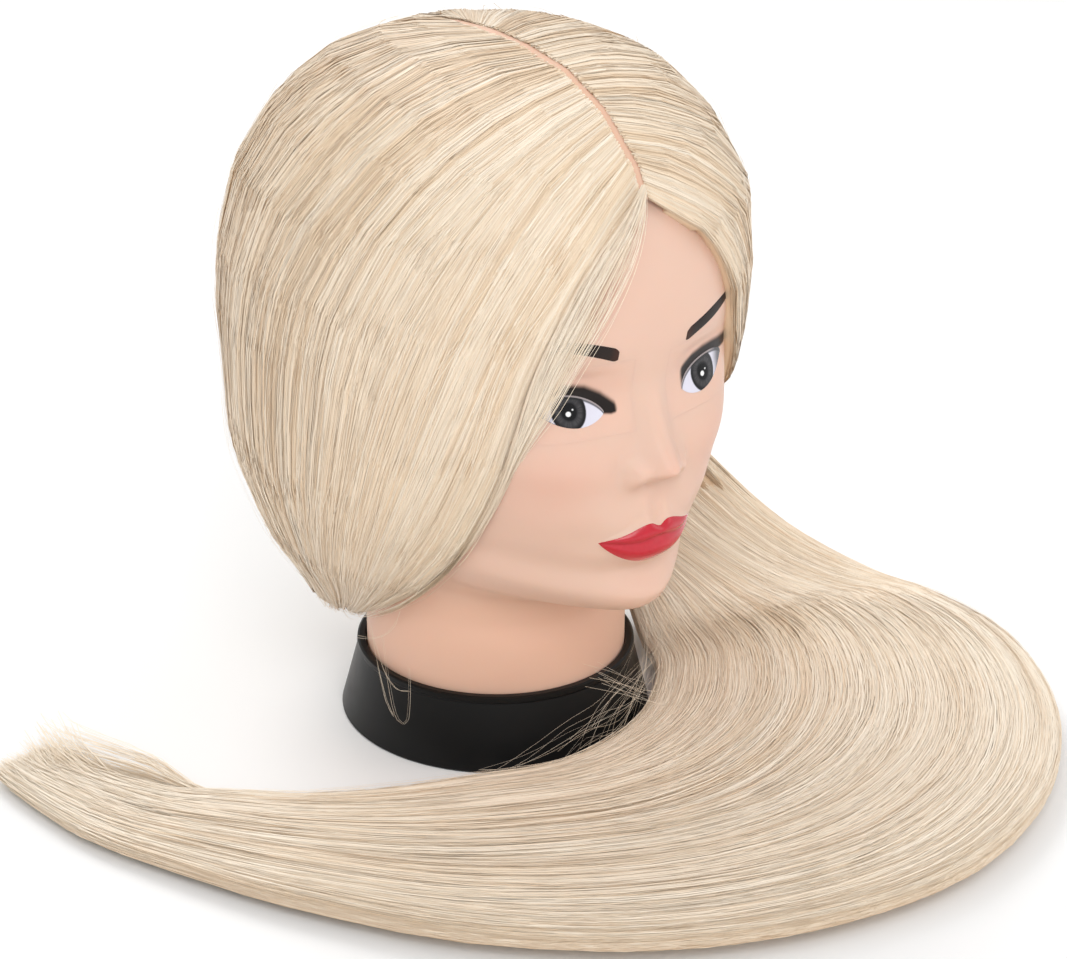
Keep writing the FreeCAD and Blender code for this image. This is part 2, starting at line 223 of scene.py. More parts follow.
skinLow, skinHigh = (np.array(corner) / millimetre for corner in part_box("head_skin"))
head = {
    "neckRadius": 53.3,
    "neckEdge": skinLow[2],
    "neckTop": 46.0,             # the neck is round up to here
    "halfWidth": 76.0,
    "top": skinHigh[2],
    "face": 94.5,                # how far the brow stands in front of the axis
    "skull": 100.0,
    "chin": 95.0,
    "chinHeight": 78.0,
    "mouthHeight": 114.0,
    "noseHeight": 143.0,
    "eyeHeight": 170.5,
    "pupilHeight": 167.7,
    "eyeSpacing": 33.0,
    "browHeight": 191.0,
    "ringsUp": 270,
    "innerRings": 40,
    "pointsRound": 290,
    "wall": 3.0,
}


def headRows():
    # tilted slices of the head from the neck's edge to the crown, in millimetres:
    # front y, front z, back y, back z, half width, front squareness, front taper
    h = head
    n, w, j = h["neckRadius"], h["halfWidth"], h["chinHeight"]
    f, s, m, e, b = h["face"], h["skull"], h["mouthHeight"], h["eyeHeight"], h["browHeight"]
    nose, chin, rise = h["noseHeight"], h["chin"], h["top"] - h["browHeight"]
    return np.array([
        [-n, h["neckEdge"], n, h["neckEdge"], n, 2.0, 0.0],
        [-n, h["neckTop"], n, h["neckTop"], n, 2.0, 0.0],
        [-n + 2.0, j - 17, n + 0.8, j - 15, n, 2.0, 0.0],
        [-n - 2, j - 6, n + 4, j, n + 1.5, 2.0, 0.02],
        [-chin + 22, j - 2, s - 38, j + 17, w - 19, 2.0, 0.3],
        [-chin + 7, j, s - 32, j + 30, w - 16.5, 2.0, 0.44],
        [-chin, j + 8, s - 26, j + 43, w - 13.5, 2.05, 0.36],
        [-chin + 2, j + 19, s - 19, j + 55, w - 11, 2.1, 0.27],
        [-f - 2, m - 7, s - 13, m + 30, w - 9, 2.15, 0.2],
        [-f - 3.5, m + 5, s - 9, m + 41, w - 7, 2.25, 0.13],
        [-f - 1.5, nose - 11, s - 5, nose + 21, w - 4.5, 2.4, 0.06],
        [-f - 1.5, nose + 1, s - 2.5, nose + 31, w - 2.5, 2.55, 0.02],
        [-f + 0.5, e - 13, s - 0.5, e + 13, w - 1.5, 2.7, 0.0],
        [-f + 1, e + 2, s, e + 23, w - 0.5, 2.7, 0.0],
        [-f, b, s, b + 15, w, 2.6, 0.0],
        [-f + 0.5, b + rise * 0.23, s - 3, b + rise * 0.32, w - 0.5, 2.45, 0.0],
        [-f + 7.5, b + rise * 0.49, s - 11, b + rise * 0.52, w - 5, 2.3, 0.0],
        [-f + 23.5, b + rise * 0.73, s - 26, b + rise * 0.73, w * 0.79, 2.2, 0.0],
        [-f + 48, b + rise * 0.89, s - 48, b + rise * 0.89, w * 0.57, 2.1, 0.0],
        [-f + 71, b + rise * 0.975, s - 72, b + rise * 0.975, w * 0.32, 2.0, 0.0],
        [-f + 85, h["top"], s - 88, h["top"], w * 0.12, 2.0, 0.0],
    ])


def headPoint(places, angles, grow=0.0):
    # a slice's middle plus a squared ellipse in its tilted plane; angle nothing is the front
    row = smoothRows(headRows(), places)
    front = np.stack([row[..., 0], row[..., 1]], axis=-1)
    back = np.stack([row[..., 2], row[..., 3]], axis=-1)
    along = front - back
    length = np.linalg.norm(along, axis=-1)
    along = along / length[..., None]
    c, s = np.cos(angles), np.sin(angles)
    power = 2.0 / (2.0 + (row[..., 5] - 2.0) * (1 + c) / 2.0)
    reach = np.sign(c) * np.abs(c) ** power * (length / 2.0 + grow)
    side = np.sign(s) * np.abs(s) ** power * (row[..., 4] + grow)
    side = side * (1 - row[..., 6] * np.maximum(c, 0.0) ** 2)
    yz = (front + back) / 2.0 + along * reach[..., None]
    return np.stack([side, yz[..., 0], yz[..., 1]], axis=-1)


def lipEdges(across):
    # heights of the lips' upper edge, parting and lower edge, across from -1 to 1
    s = np.abs(across)
    m = head["mouthHeight"]
    upper = m - 1.0 + 7.6 * (1 - s**1.6) - 2.6 * hill(s / 0.13) - 0.6 * hill((s - 0.62) / 0.25)
    parting = m - 1.0 + 0.9 * hill(s / 0.25) - 0.5 * hill((s - 0.45) / 0.25)
    lower = m - 1.0 - 11.6 * (1 - s**2.0) ** 0.85
    return upper, parting, lower


lipHalfWidth = 22.5


def faceRelief(x, z):
    # how far the features stand out of the plain head: hills and hollows added up
    side = np.abs(x)
    nose, eye, brow = head["noseHeight"], head["eyeHeight"], head["browHeight"]
    mouth, chin, gap = head["mouthHeight"], head["chinHeight"], head["eyeSpacing"]
    out = np.zeros_like(x)
    # the bridge widens and rises from between the eyes down to the tip, then tucks in below
    down = np.clip((eye + 5 - z) / (eye + 5 - nose), 0.0, 1.0)
    under = step(nose - 11.0, nose - 0.5, z)
    bridge = 2.6 * step(0.0, 0.4, down) + 8.6 * down**1.5
    width = 6.0 + 2.2 * down
    out += bridge * under * hill(side / width)
    out += 2.2 * hill(side / 7.5) * hill((z - nose) / 6.5)
    # wings beside the tip, with the crease behind them
    out += 4.3 * hill((side - 10.8) / 4.2) * hill((z - nose + 3.4) / 5.4)
    out -= 0.8 * hill((side - 16.5) / 3.0) * hill((z - nose + 1.5) / 6.0)
    # nostril dents under the tip
    out -= 0.9 * hill((side - 5.5) / 2.4) * hill((z - nose + 7.4) / 1.8)
    # sockets, eyeballs, lids and the brow's ledge
    out -= 8.6 * hill((side - gap + 3) / 18.0) * hill((z - eye) / 11.5)
    out += 3.6 * hill((side - gap) / 12.5) * hill((z - eye + 2.4) / 8.5)
    out += 1.2 * hill((side - gap + 4) / 16.0) * hill((z - brow - 2) / 6.5)
    out -= 0.8 * hill((side - gap) / 13.0) * hill((z - eye - 9.5) / 2.6)
    # cheeks, and the hollow beside the mouth
    out += 1.8 * hill((side - 38) / 17.0) * hill((z - eye + 30) / 16.0)
    out -= 1.2 * hill((side - 27) / 6.0) * hill((z - mouth) / 9.0)
    # the groove over the lips
    out -= 0.9 * hill(side / 2.6) * hill((z - mouth - 11) / 5.0)
    out += 0.8 * hill((side - 5.0) / 3.0) * hill((z - mouth - 9) / 5.0)
    # lips: each is a rounded roll between its edge and the parting
    across = np.clip(x / lipHalfWidth, -1.0, 1.0)
    upper, parting, lower = lipEdges(across)
    inside = 1.0 - np.abs(across) ** 2.2
    upperRoll = np.clip((z - parting) / np.maximum(upper - parting, 0.5), -0.6, 1.6)
    lowerRoll = np.clip((parting - z) / np.maximum(parting - lower, 0.5), -0.6, 1.6)
    out += 3.0 * inside * hill((upperRoll - 0.5) / 0.62)
    out += 4.4 * inside * hill((lowerRoll - 0.48) / 0.6)
    out -= 0.5 * inside * hill((z - parting) / 1.0)
    # fold under the lower lip, and the chin's boss
    out -= 2.0 * hill(side / 17.0) * hill((z - chin - 20) / 4.6)
    out += 2.2 * hill(side / 14.0) * hill((z - chin - 9) / 8.0)
    return out


def frontFade(angles):
    # features fade away towards the sides of the head
    return np.clip(np.cos(angles) * 2.5, 0.0, 1.0)


def facePoints(x, z):
    # points on the finished face over given x and z: the slice and angle that land there are
    # found by Newton steps, and the features are added
    place = np.interp(z, headRows()[:, 1], np.arange(len(headRows())))
    angle = np.arcsin(np.clip(x / 80.0, -0.9, 0.9))
    tiny = 1e-3
    for _ in range(9):
        here = headPoint(place, angle)
        byPlace = (headPoint(place + tiny, angle) - here) / tiny
        byAngle = (headPoint(place, angle + tiny) - here) / tiny
        a, b = byPlace[..., 0], byAngle[..., 0]
        c, d = byPlace[..., 2], byAngle[..., 2]
        ex, ez = x - here[..., 0], z - here[..., 2]
        det = a * d - b * c
        place = np.clip(place + np.clip((d * ex - b * ez) / det, -1, 1), 4.0, 19.0)
        angle = np.clip(angle + np.clip((a * ez - c * ex) / det, -0.3, 0.3), -1.5, 1.5)
    y = headPoint(place, angle)[..., 1] - faceRelief(x, z) * frontFade(angle)
    return np.stack([x, y, z], axis=-1)


def skinGrid(rings, around, grow=0.0):
    # slices crowd where the face is, and points crowd towards its middle
    rows = headRows()
    last = len(rows) - 1
    t = np.linspace(0.0, 1.0, rings)
    places = last * (t + 0.035 * np.sin(2 * math.pi * t))
    turn = math.pi + 2 * math.pi * np.arange(around) / around
    angles = turn - 0.55 * np.sin(turn)
    places, angles = np.meshgrid(places, angles, indexing="ij")
    points = headPoint(places, angles, grow)
    points[..., 1] -= faceRelief(points[..., 0], points[..., 2]) * frontFade(angles)
    return points


def noiseValue(tree, scale, detail):
    coords = tree.nodes.new("ShaderNodeTexCoord")
    noise = tree.nodes.new("ShaderNodeTexNoise")
    noise.inputs["Scale"].default_value = scale
    noise.inputs["Detail"].default_value = detail
    tree.links.new(coords.outputs["Object"], noise.inputs["Vector"])
    return noise.outputs["Fac"]


def addBump(tree, shader, height, strength, distance):
    bump = tree.nodes.new("ShaderNodeBump")
    bump.inputs["Strength"].default_value = strength
    bump.inputs["Distance"].default_value = distance
    tree.links.new(height, bump.inputs["Height"])
    tree.links.new(bump.outputs["Normal"], shader.inputs["Normal"])


def addRoughness(tree, shader, value, low, high):
    # the roughness runs from low to high with the value
    rough = tree.nodes.new("ShaderNodeMapRange")
    rough.inputs["To Min"].default_value = low
    rough.inputs["To Max"].default_value = high
    tree.links.new(value, rough.inputs["Value"])
    tree.links.new(rough.outputs["Result"], shader.inputs["Roughness"])


def readAttribute(tree, name, output):
    node = tree.nodes.new("ShaderNodeAttribute")
    node.attribute_name = name
    return node.outputs[output]


def newMaterial(name):
    material = bpy.data.materials.new(name)
    material.use_nodes = True
    tree = material.node_tree
    return material, tree, tree.nodes["Principled BSDF"]


def mixColour(tree, factor, low, high, blend="MIX"):
    # a colour between low and high; each of the three is a constant or a socket
    mix = tree.nodes.new("ShaderNodeMix")
    mix.data_type = "RGBA"
    mix.blend_type = blend
    factorInput, lowInput, highInput, colourOutput = 0, 6, 7, 2
    for number, value in ((factorInput, factor), (lowInput, low), (highInput, high)):
        if isinstance(value, (tuple, float)):
            mix.inputs[number].default_value = value
        else:
            tree.links.new(value, mix.inputs[number])
    return mix.outputs[colourOutput]


vinyl = {
    "colour": (0.77, 0.515, 0.405, 1.0),
    "mottled": (0.785, 0.505, 0.40, 1.0),
    "cloudScale": 22.0,
    "poreScale": 900.0,
    "smoothest": 0.37,
    "roughest": 0.49,
    "bump": 0.06,
    "bumpHeight": 0.0002,
    "softness": 0.18,                       # how much light goes through, and how far
    "lightReach": (0.012, 0.005, 0.003),
    "specular": 0.30,
}


def vinylMaterial():
    material, tree, shader = newMaterial("vinylSkin")
    cloud = noiseValue(tree, vinyl["cloudScale"], 3.0)
    colour = mixColour(tree, cloud, vinyl["colour"], vinyl["mottled"])
    colour = mixColour(tree, 1.0, colour, readAttribute(tree, "paint", "Color"), "MULTIPLY")
    tree.links.new(colour, shader.inputs["Base Color"])
    pores = noiseValue(tree, vinyl["poreScale"], 4.0)
    addRoughness(tree, shader, pores, vinyl["smoothest"], vinyl["roughest"])
    addBump(tree, shader, pores, vinyl["bump"], vinyl["bumpHeight"])
    shader.inputs["Subsurface Weight"].default_value = vinyl["softness"]
    shader.inputs["Subsurface Radius"].default_value = vinyl["lightReach"]
    shader.inputs["Subsurface Scale"].default_value = 1.0
    shader.inputs["Specular IOR Level"].default_value = vinyl["specular"]
    return material


eyeHalf = 13.8             # from the pupil to a corner of the eye
liner = {
    "ink": (0.012, 0.009, 0.009),
    "edgeInk": (0.20, 0.07, 0.04),      # the band fades out through brown
    "glow": 0.30,                       # how strong that brown is
    # where the band fades: past its top and bottom edges, and at its two ends
    "topFade": (-1.53, 1.08), "bottomFade": (-0.5, 0.5),
    "glowTopFade": (-2.6, 0.6), "glowBottomFade": (-0.9, 0.3),
    "rightInnerEnd": (-19.4, -18.0), "leftInnerEnd": (-14.5, -12.0), "outerEnd": (21.0, 17.0),
    # from the pupil outwards, and there the band's top over the pupil and its bottom
    "across": (-19.4, -18.4, -16.5, -13.0, -6.5, 0.0, 6.0, 12.0, 18.0, 22.0),
    "top": (-1.6, 0.3, 2.0, 5.0, 8.6, 10.0, 10.4, 10.2, 9.8, 9.6),
    "bottom": (-1.7, -3.0, -3.4, -2.9, 3.5, 5.8, 6.2, 5.0, 5.0, 8.0),
}


def lidHeights(outward):
    # the upper and lower lid over the pupil's height; outward runs from -1 at the inner
    # corner to 1 at the outer
    rise = 2.8 * outward + 0.5
    openUp = 5.9 * np.clip(1 - outward**2, 0, 1) ** 0.62
    openDown = 6.8 * np.clip(1 - outward**2, 0, 1) ** 0.75
    return rise + openUp, rise - openDown


def skinPaint(points, withInk):
    # painted tones multiplied over the vinyl: the soft black band over each eye, faint blush,
    # and a warmer lower neck, which is painted shade under the jaw
    x, y, z = points[..., 0], points[..., 1], points[..., 2]
    side = np.abs(x)
    shade = np.ones(points.shape)
    inFront = y < -40
    if withInk:
        dx = side - head["eyeSpacing"]
        over = z - head["pupilHeight"]
        top = np.interp(dx, liner["across"], liner["top"])
        bottom = np.interp(dx, liner["across"], liner["bottom"])
        innerEnd = np.where(x > 0, step(*liner["leftInnerEnd"], dx),
                            step(*liner["rightInnerEnd"], dx))
        ends = innerEnd * step(*liner["outerEnd"], dx) * inFront
        band = (step(*liner["topFade"], top - over)
                * step(*liner["bottomFade"], over - bottom) * ends)
        glow = (step(*liner["glowTopFade"], top - over)
                * step(*liner["glowBottomFade"], over - bottom) * ends)
        shade = blended(shade, liner["edgeInk"], liner["glow"] * glow)
        shade = blended(shade, liner["ink"], band)
    blush = 0.08 * hill((side - 40) / 16.0) * hill((z - 140) / 15.0) * inFront
    blush = blush + 0.05 * hill(x / 9.0) * hill((z - head["noseHeight"]) / 9.0) * inFront
    # painted shade under the jaw: the vinyl is tinted warmer towards the bottom of the neck
    neck = step(92.0, 66.0, z)
    shade[..., 0] *= 1 + 0.09 * neck
    shade[..., 1] *= (1 - blush) * (1 + 0.01 * neck)
    shade[..., 2] *= (1 - blush * 1.1) * (1 - 0.05 * neck)
    return shade


vinylPaint = vinylMaterial()


def makeHeadSkin():
    # outer and inner walls joined by a ring at the neck and closed over at the crown
    rings, innerRings, around = head["ringsUp"], head["innerRings"], head["pointsRound"]
    outer = skinGrid(rings, around)
    inner = skinGrid(innerRings, around, grow=-head["wall"])
    inner[..., 2] = np.minimum(inner[..., 2], head["top"] - head["wall"])
    crowns = [outer[-1].mean(axis=0), inner[-1].mean(axis=0)]
    points = np.concatenate([outer.reshape(-1, 3), inner.reshape(-1, 3), crowns])
    k = np.arange(around)
    n = (k + 1) % around
    shift = rings * around
    outerRow, innerRow = shift - around, shift + (innerRings - 1) * around
    quads = np.concatenate([
        gridFaces(rings, around, closeColumns=True),
        gridFaces(innerRings, around, closeColumns=True, flip=True) + shift,
        np.stack([n, k, shift + k, shift + n], axis=-1)])
    crown = np.full(around, len(points) - 2)
    caps = np.concatenate([np.stack([outerRow + k, outerRow + n, crown], axis=-1),
                           np.stack([innerRow + n, innerRow + k, crown + 1], axis=-1)])
    piece = addMesh("head_vinyl", points, quads, vinylPaint, triangles=caps)
    setTint(piece, "paint", skinPaint(points, False))
    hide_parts("head_skin")


makeHeadSkin()
print("head skin is in place")

base = {
    # name, colour, roughness, scale of the grain and metalness of each piece's finish
    "finishes": {
        "base_skirt": ("blackPlastic", (0.005, 0.005, 0.005, 1.0), 0.36, 140.0, 0.0),
        "neck_core": ("corePlastic", (0.22, 0.22, 0.215, 1.0), 0.5, 200.0, 0.0),
        "clamp_socket": ("socketPlastic", (0.62, 0.61, 0.58, 1.0), 0.45, 200.0, 0.0),
        "base_screws": ("screwSteel", (0.60, 0.60, 0.61, 1.0), 0.3, 600.0, 1.0),
    },
    "plasticSpecular": 0.22,
    "steelSpecular": 0.5,
    "smoother": 0.06,          # how far the gloss varies each way
    "rougher": 0.08,
    "bump": 0.05,
    "bumpHeight": 0.0003,
}


def plainMaterial(name, colour, roughness, grain, metal):
    # a moulded or plated finish: fine grain in the gloss and a very slight orange-peel relief
    material, tree, shader = newMaterial(name)
    specular = base["steelSpecular"] if metal else base["plasticSpecular"]
    shader.inputs["Base Color"].default_value = colour
    shader.inputs["Metallic"].default_value = metal
    shader.inputs["Specular IOR Level"].default_value = specular
    cloud = noiseValue(tree, grain, 4.0)
    addRoughness(tree, shader, cloud, roughness - base["smoother"], roughness + base["rougher"])
    addBump(tree, shader, cloud, base["bump"], base["bumpHeight"])
    return material


def dressBase():
    for name, finish in base["finishes"].items():
        node = frame["nodes"][name]
        node.data.materials.clear()
        node.data.materials.append(plainMaterial(*finish))


dressBase()
print("base is dressed")


def paintPatch(name, x, z, material, tints, lift, sink=0.35):
    # a thin skin of paint over the face: lifted inside, and dipping below the vinyl at its rim
    rows, columns = x.shape
    r = np.minimum(np.arange(rows), np.arange(rows)[::-1])[:, None] / 2.0
    c = np.minimum(np.arange(columns), np.arange(columns)[::-1])[None, :] / 2.0
    inside = np.clip(np.minimum(r, c), 0.0, 1.0)
    points = facePoints(x, z)
    points[..., 1] -= lift * inside - sink * (1 - inside)
    normal = np.cross(np.gradient(points, axis=1).reshape(-1, 3),
                      np.gradient(points, axis=0).reshape(-1, 3))
    flip = normal[:, 1].sum() > 0
    piece = addMesh(name, points, gridFaces(rows, columns, flip=flip), material)
    setTint(piece, "paint", tints)


def paintMaterial(name, roughness, coat, bumpScale, bumpStrength):
    material, tree, shader = newMaterial(name)
    cloud = noiseValue(tree, bumpScale, 3.0)
    colour = mixColour(tree, 0.18, readAttribute(tree, "paint", "Color"), cloud, "MULTIPLY")
    tree.links.new(colour, shader.inputs["Base Color"])
    addBump(tree, shader, cloud, bumpStrength, 0.0002)
    shader.inputs["Roughness"].default_value = roughness
    shader.inputs["Coat Weight"].default_value = coat
    shader.inputs["Specular IOR Level"].default_value = 0.22
    shader.inputs["Coat Roughness"].default_value = 0.12
    return material


eyes = {
    "white": (0.78, 0.77, 0.88),
    "iris": (0.022, 0.021, 0.024),
    "irisLight": (0.085, 0.082, 0.086),
    "rim": (0.008, 0.008, 0.009),
    "pupil": (0.003, 0.003, 0.004),
    "glint": (1.0, 1.0, 1.0),
    "crease": (0.42, 0.36, 0.36),
    "irisRadius": 7.0,
    "pupilRadius": 3.0,
    "glints": [(-0.5, -0.8, 1.05), (1.5, 0.5, 0.35)],      # place across and up, and radius
    "rows": 90,
    "columns": 170,
}


def eyeTints(dx, dz, outward, fromTop, fromBottom):
    # rings round the pupil's middle, darker under the upper lid
    e = eyes
    r = np.hypot(dx, dz * 0.97)
    angle = np.arctan2(dz, dx)
    fibres = 0.5 + 0.5 * np.sin(angle * 23 + 2.2 * np.sin(angle * 7)) * step(2.6, 4.5, r)
    glow = step(3.0, 4.1, r) * step(6.0, 4.8, r)
    colour = np.array(e["white"]) * (1 - 0.35 * step(2.2, 0.4, fromTop))[..., None]

    iris, pupil, soft, edge = e["irisRadius"], e["pupilRadius"], 0.22, 0.15
    layers = [
        (e["rim"], step(iris + soft, iris - soft, r)),
        (e["iris"], step(iris - 0.6, iris - 1.5, r)),
        (e["irisLight"], glow * (0.30 + 0.40 * fibres) * step(0.5, 3.5, fromTop)),
        (e["pupil"], step(pupil + 0.35, pupil - 0.2, r))]
    for gx, gz, size in e["glints"]:
        spot = np.hypot(dx - gx, (dz - gz) * 1.15)
        layers.append((e["glint"], step(size + edge, size - edge, spot)))
    # a dark line under the upper lid, its pale crease, and the lash line at the outer corner
    layers += [
        (e["rim"], step(1.9, 1.3, fromTop) * 0.75),
        (e["crease"], step(0.95, 0.7, fromTop) * step(0.75, 0.35, outward) * 0.85),
        (e["rim"], step(0.45, 0.85, outward) * 0.85),
        (e["rim"], step(0.5, 0.2, fromBottom) * step(0.0, 0.5, outward) * 0.8)]
    for tone, amount in layers:
        colour = blended(colour, tone, amount)
    return colour


sides = (("right", -1.0), ("left", 1.0))


def cornerToCorner(columns):
    # from -1 to 1, closer together towards the two corners
    return np.sin(np.linspace(-math.pi / 2, math.pi / 2, columns))


def makeEyes():
    paint = paintMaterial("eyePaint", 0.18, 0.22, 60.0, 0.02)
    s, q = np.meshgrid(cornerToCorner(eyes["columns"]), np.linspace(0.0, 1.0, eyes["rows"]))
    upper, lower = lidHeights(s)
    z = head["pupilHeight"] + upper + (lower - upper) * q
    fromTop, fromBottom = (upper - lower) * q, (upper - lower) * (1 - q)
    for side, sign in sides:
        x = sign * (head["eyeSpacing"] + eyeHalf * s)
        dx = x - sign * head["eyeSpacing"]
        tints = eyeTints(dx, z - head["pupilHeight"], s, fromTop, fromBottom)
        paintPatch("eye_paint_" + side, x, z, paint, tints, lift=0.22)


lids = {
    "inner": 8.0, "outer": 58.0, "top": 186.0, "bottom": 156.0,
    "rows": 100,
    "columns": 170,
}


def makeLidPaint():
    # the vinyl round each eye again as a finer sheet, because its painted band needs finer points
    across, z = np.meshgrid(np.linspace(lids["inner"], lids["outer"], lids["columns"]),
                            np.linspace(lids["top"], lids["bottom"], lids["rows"]))
    for side, sign in sides:
        x = sign * across
        tints = skinPaint(facePoints(x, z), True)
        paintPatch("lid_paint_" + side, x, z, vinylPaint, tints, lift=0.07, sink=0.12)


brows = {
    "innerX": 16.0, "outerX": 51.0,
    "lowest": -2.6,           # of its middle line, from the brow's height
    "arch": 7.2,
    "halfHeight": 3.25,
    "ink": (0.022, 0.014, 0.012),
    "innerInk": (0.060, 0.022, 0.014),
    "rows": 24,
    "columns": 90,
}


def makeBrows():
    # a stroke with a round inner end that arches, then thins to its outer end
    paint = paintMaterial("browPaint", 0.5, 0.0, 700.0, 0.25)
    t, q = np.meshgrid(np.linspace(0.0, 1.0, brows["columns"]),
                       np.linspace(-1.0, 1.0, brows["rows"]))
    half = brows["halfHeight"] * np.sqrt(np.clip(1 - (1 - np.clip(t / 0.09, 0, 1)) ** 2, 0, 1))
    half = half * (1 - 0.62 * t**1.5) * np.clip((1 - t) / 0.05, 0.05, 1) ** 0.5
    z = head["browHeight"] + brows["lowest"] + brows["arch"] * np.sin(t * 2.0) + half * q
    tints = blended(brows["ink"], brows["innerInk"], step(0.16, 0.0, t))
    for side, sign in sides:
        x = sign * (brows["innerX"] + (brows["outerX"] - brows["innerX"]) * t)
        paintPatch("brow_paint_" + side, x, z, paint, tints, lift=0.12)


lips = {
    "red": (0.60, 0.022, 0.040),
    # the red of the lips in painted shade, used along their parting and over the upper lip
    "shadedRed": (0.36, 0.010, 0.022),
    "rows": 70,
    "columns": 160,
}


def makeLips():
    paint = paintMaterial("lipPaint", 0.22, 0.45, 500.0, 0.08)
    s, q = np.meshgrid(cornerToCorner(lips["columns"]), np.linspace(0.0, 1.0, lips["rows"]))
    upper, parting, lower = lipEdges(s)
    z = upper + (lower - upper) * q
    # painted shade: a darker red along the parting between the lips and over the upper lip, which
    # faces away from the light
    dark = 0.35 * hill((z - parting) / 0.7) + 0.15 * step(parting - 2.0, upper, z)
    tints = blended(lips["red"], lips["shadedRed"], dark)
    paintPatch("lip_paint", lipHalfWidth * s, z, paint, tints, lift=0.14)


makeLidPaint()
makeEyes()
makeBrows()
makeLips()
print("painted face is in place")

chance = np.random.default_rng(20240611)
noiseTable = np.random.default_rng(7).random((256, 256))

hair = {
    "dark": (0.58, 0.405, 0.25, 1.0),
    "mid": (0.85, 0.665, 0.47, 1.0),
    "light": (0.97, 0.86, 0.71, 1.0),
    "roughness": 0.38,
}

# the hair over the head as level slices: height, front y, back y, half width, squareness
capRows = np.array([
    [30, 14, 60, 52, 2.1], [50, -2, 72.3, 60.3, 2.1], [60, -24, 81.3, 67.3, 2.2],
    [78, -48, 93, 76, 2.2], [101, -67.5, 104, 85, 2.2], [120, -76.5, 111, 91, 2.2],
    [147, -90.5, 117, 96, 2.2], [172.5, -96.5, 120, 98, 2.2], [200, -100.5, 119, 97, 2.2],
    [230, -96.5, 111, 91, 2.2], [256, -82.5, 95, 78, 2.15], [273, -62.5, 74, 62, 2.1],
    [283, -40.5, 51, 40, 2.0], [287, -16.5, 27, 13, 2.0], [288.2, 3, 7, 0.8, 2.0]])
capMiddle = np.array([0.0, 8.0, 160.0])

# strands drawn over the right half, from the face's edge to the middle of the back,
# each from the parting down and behind the neck
rightKeys = [
    [(-0.9, -89, 246), (-12, -91, 241), (-27, -92, 228), (-39, -90, 210), (-47, -87, 191),
     (-51, -82, 168), (-52, -74, 144), (-53, -60, 116), (-55, -42, 92), (-57, -12, 66),
     (-55, 16, 50), (-46, 38, 46), (-22, 60, 46), (14, 68, 47), (48, 58, 54)],
    [(-0.9, -82, 256), (-22, -88, 243), (-44, -88, 220), (-58, -82, 195), (-65, -71, 162),
     (-67, -48, 119), (-64, -12, 76), (-57, 18, 50), (-46, 42, 45), (-12, 66, 47),
     (40, 60, 54)],
    [(-0.9, -69, 268), (-37, -75, 254), (-62, -74, 228), (-76, -64, 195), (-82, -47, 152),
     (-80, -28, 114), (-66, 8, 64), (-55, 30, 48), (-34, 56, 46), (14, 70, 50), (40, 62, 56)],
    [(-0.9, -54, 277), (-39, -58, 267), (-67, -52, 248), (-85, -40, 218), (-93, -27, 184),
     (-92, -14, 138), (-80, 4, 92), (-59, 28, 49), (-38, 56, 47), (14, 72, 53), (40, 64, 58)],
    [(-0.9, -36, 284), (-34, -33, 279), (-68, -25, 262), (-88, -11, 235), (-97, 6, 200),
     (-97, 15, 163), (-92, 19, 127), (-77, 23, 80), (-60, 31, 49), (-40, 58, 48),
     (10, 76, 56), (40, 66, 60)],
    [(-0.9, -14, 287), (-29, -2, 285), (-61, 5, 273), (-80, 17, 251), (-91, 32, 220),
     (-95, 43, 182), (-91, 47, 142), (-85, 42, 108), (-72, 40, 72), (-60, 44, 52),
     (-36, 68, 52), (10, 80, 60), (40, 70, 64)],
    [(-2, 8, 288), (-26, 34, 278), (-52, 60, 256), (-70, 76, 222), (-76, 84, 180),
     (-72, 84, 138), (-62, 82, 98), (-48, 80, 66), (-20, 86, 58), (20, 82, 58), (46, 66, 58),
     (60, 48, 44)],
    [(-2, 24, 287), (-14, 56, 276), (-27, 86, 248), (-36, 104, 210), (-38, 110, 170),
     (-34, 106, 130), (-22, 100, 98), (0, 92, 76), (30, 80, 70), (54, 60, 56), (66, 44, 40)],
    [(-1, 34, 286), (3, 66, 276), (5, 96, 250), (6, 114, 212), (10, 117, 170),
     (20, 110, 132), (34, 94, 102), (50, 74, 78), (61, 55, 54), (70, 38, 32)],
]

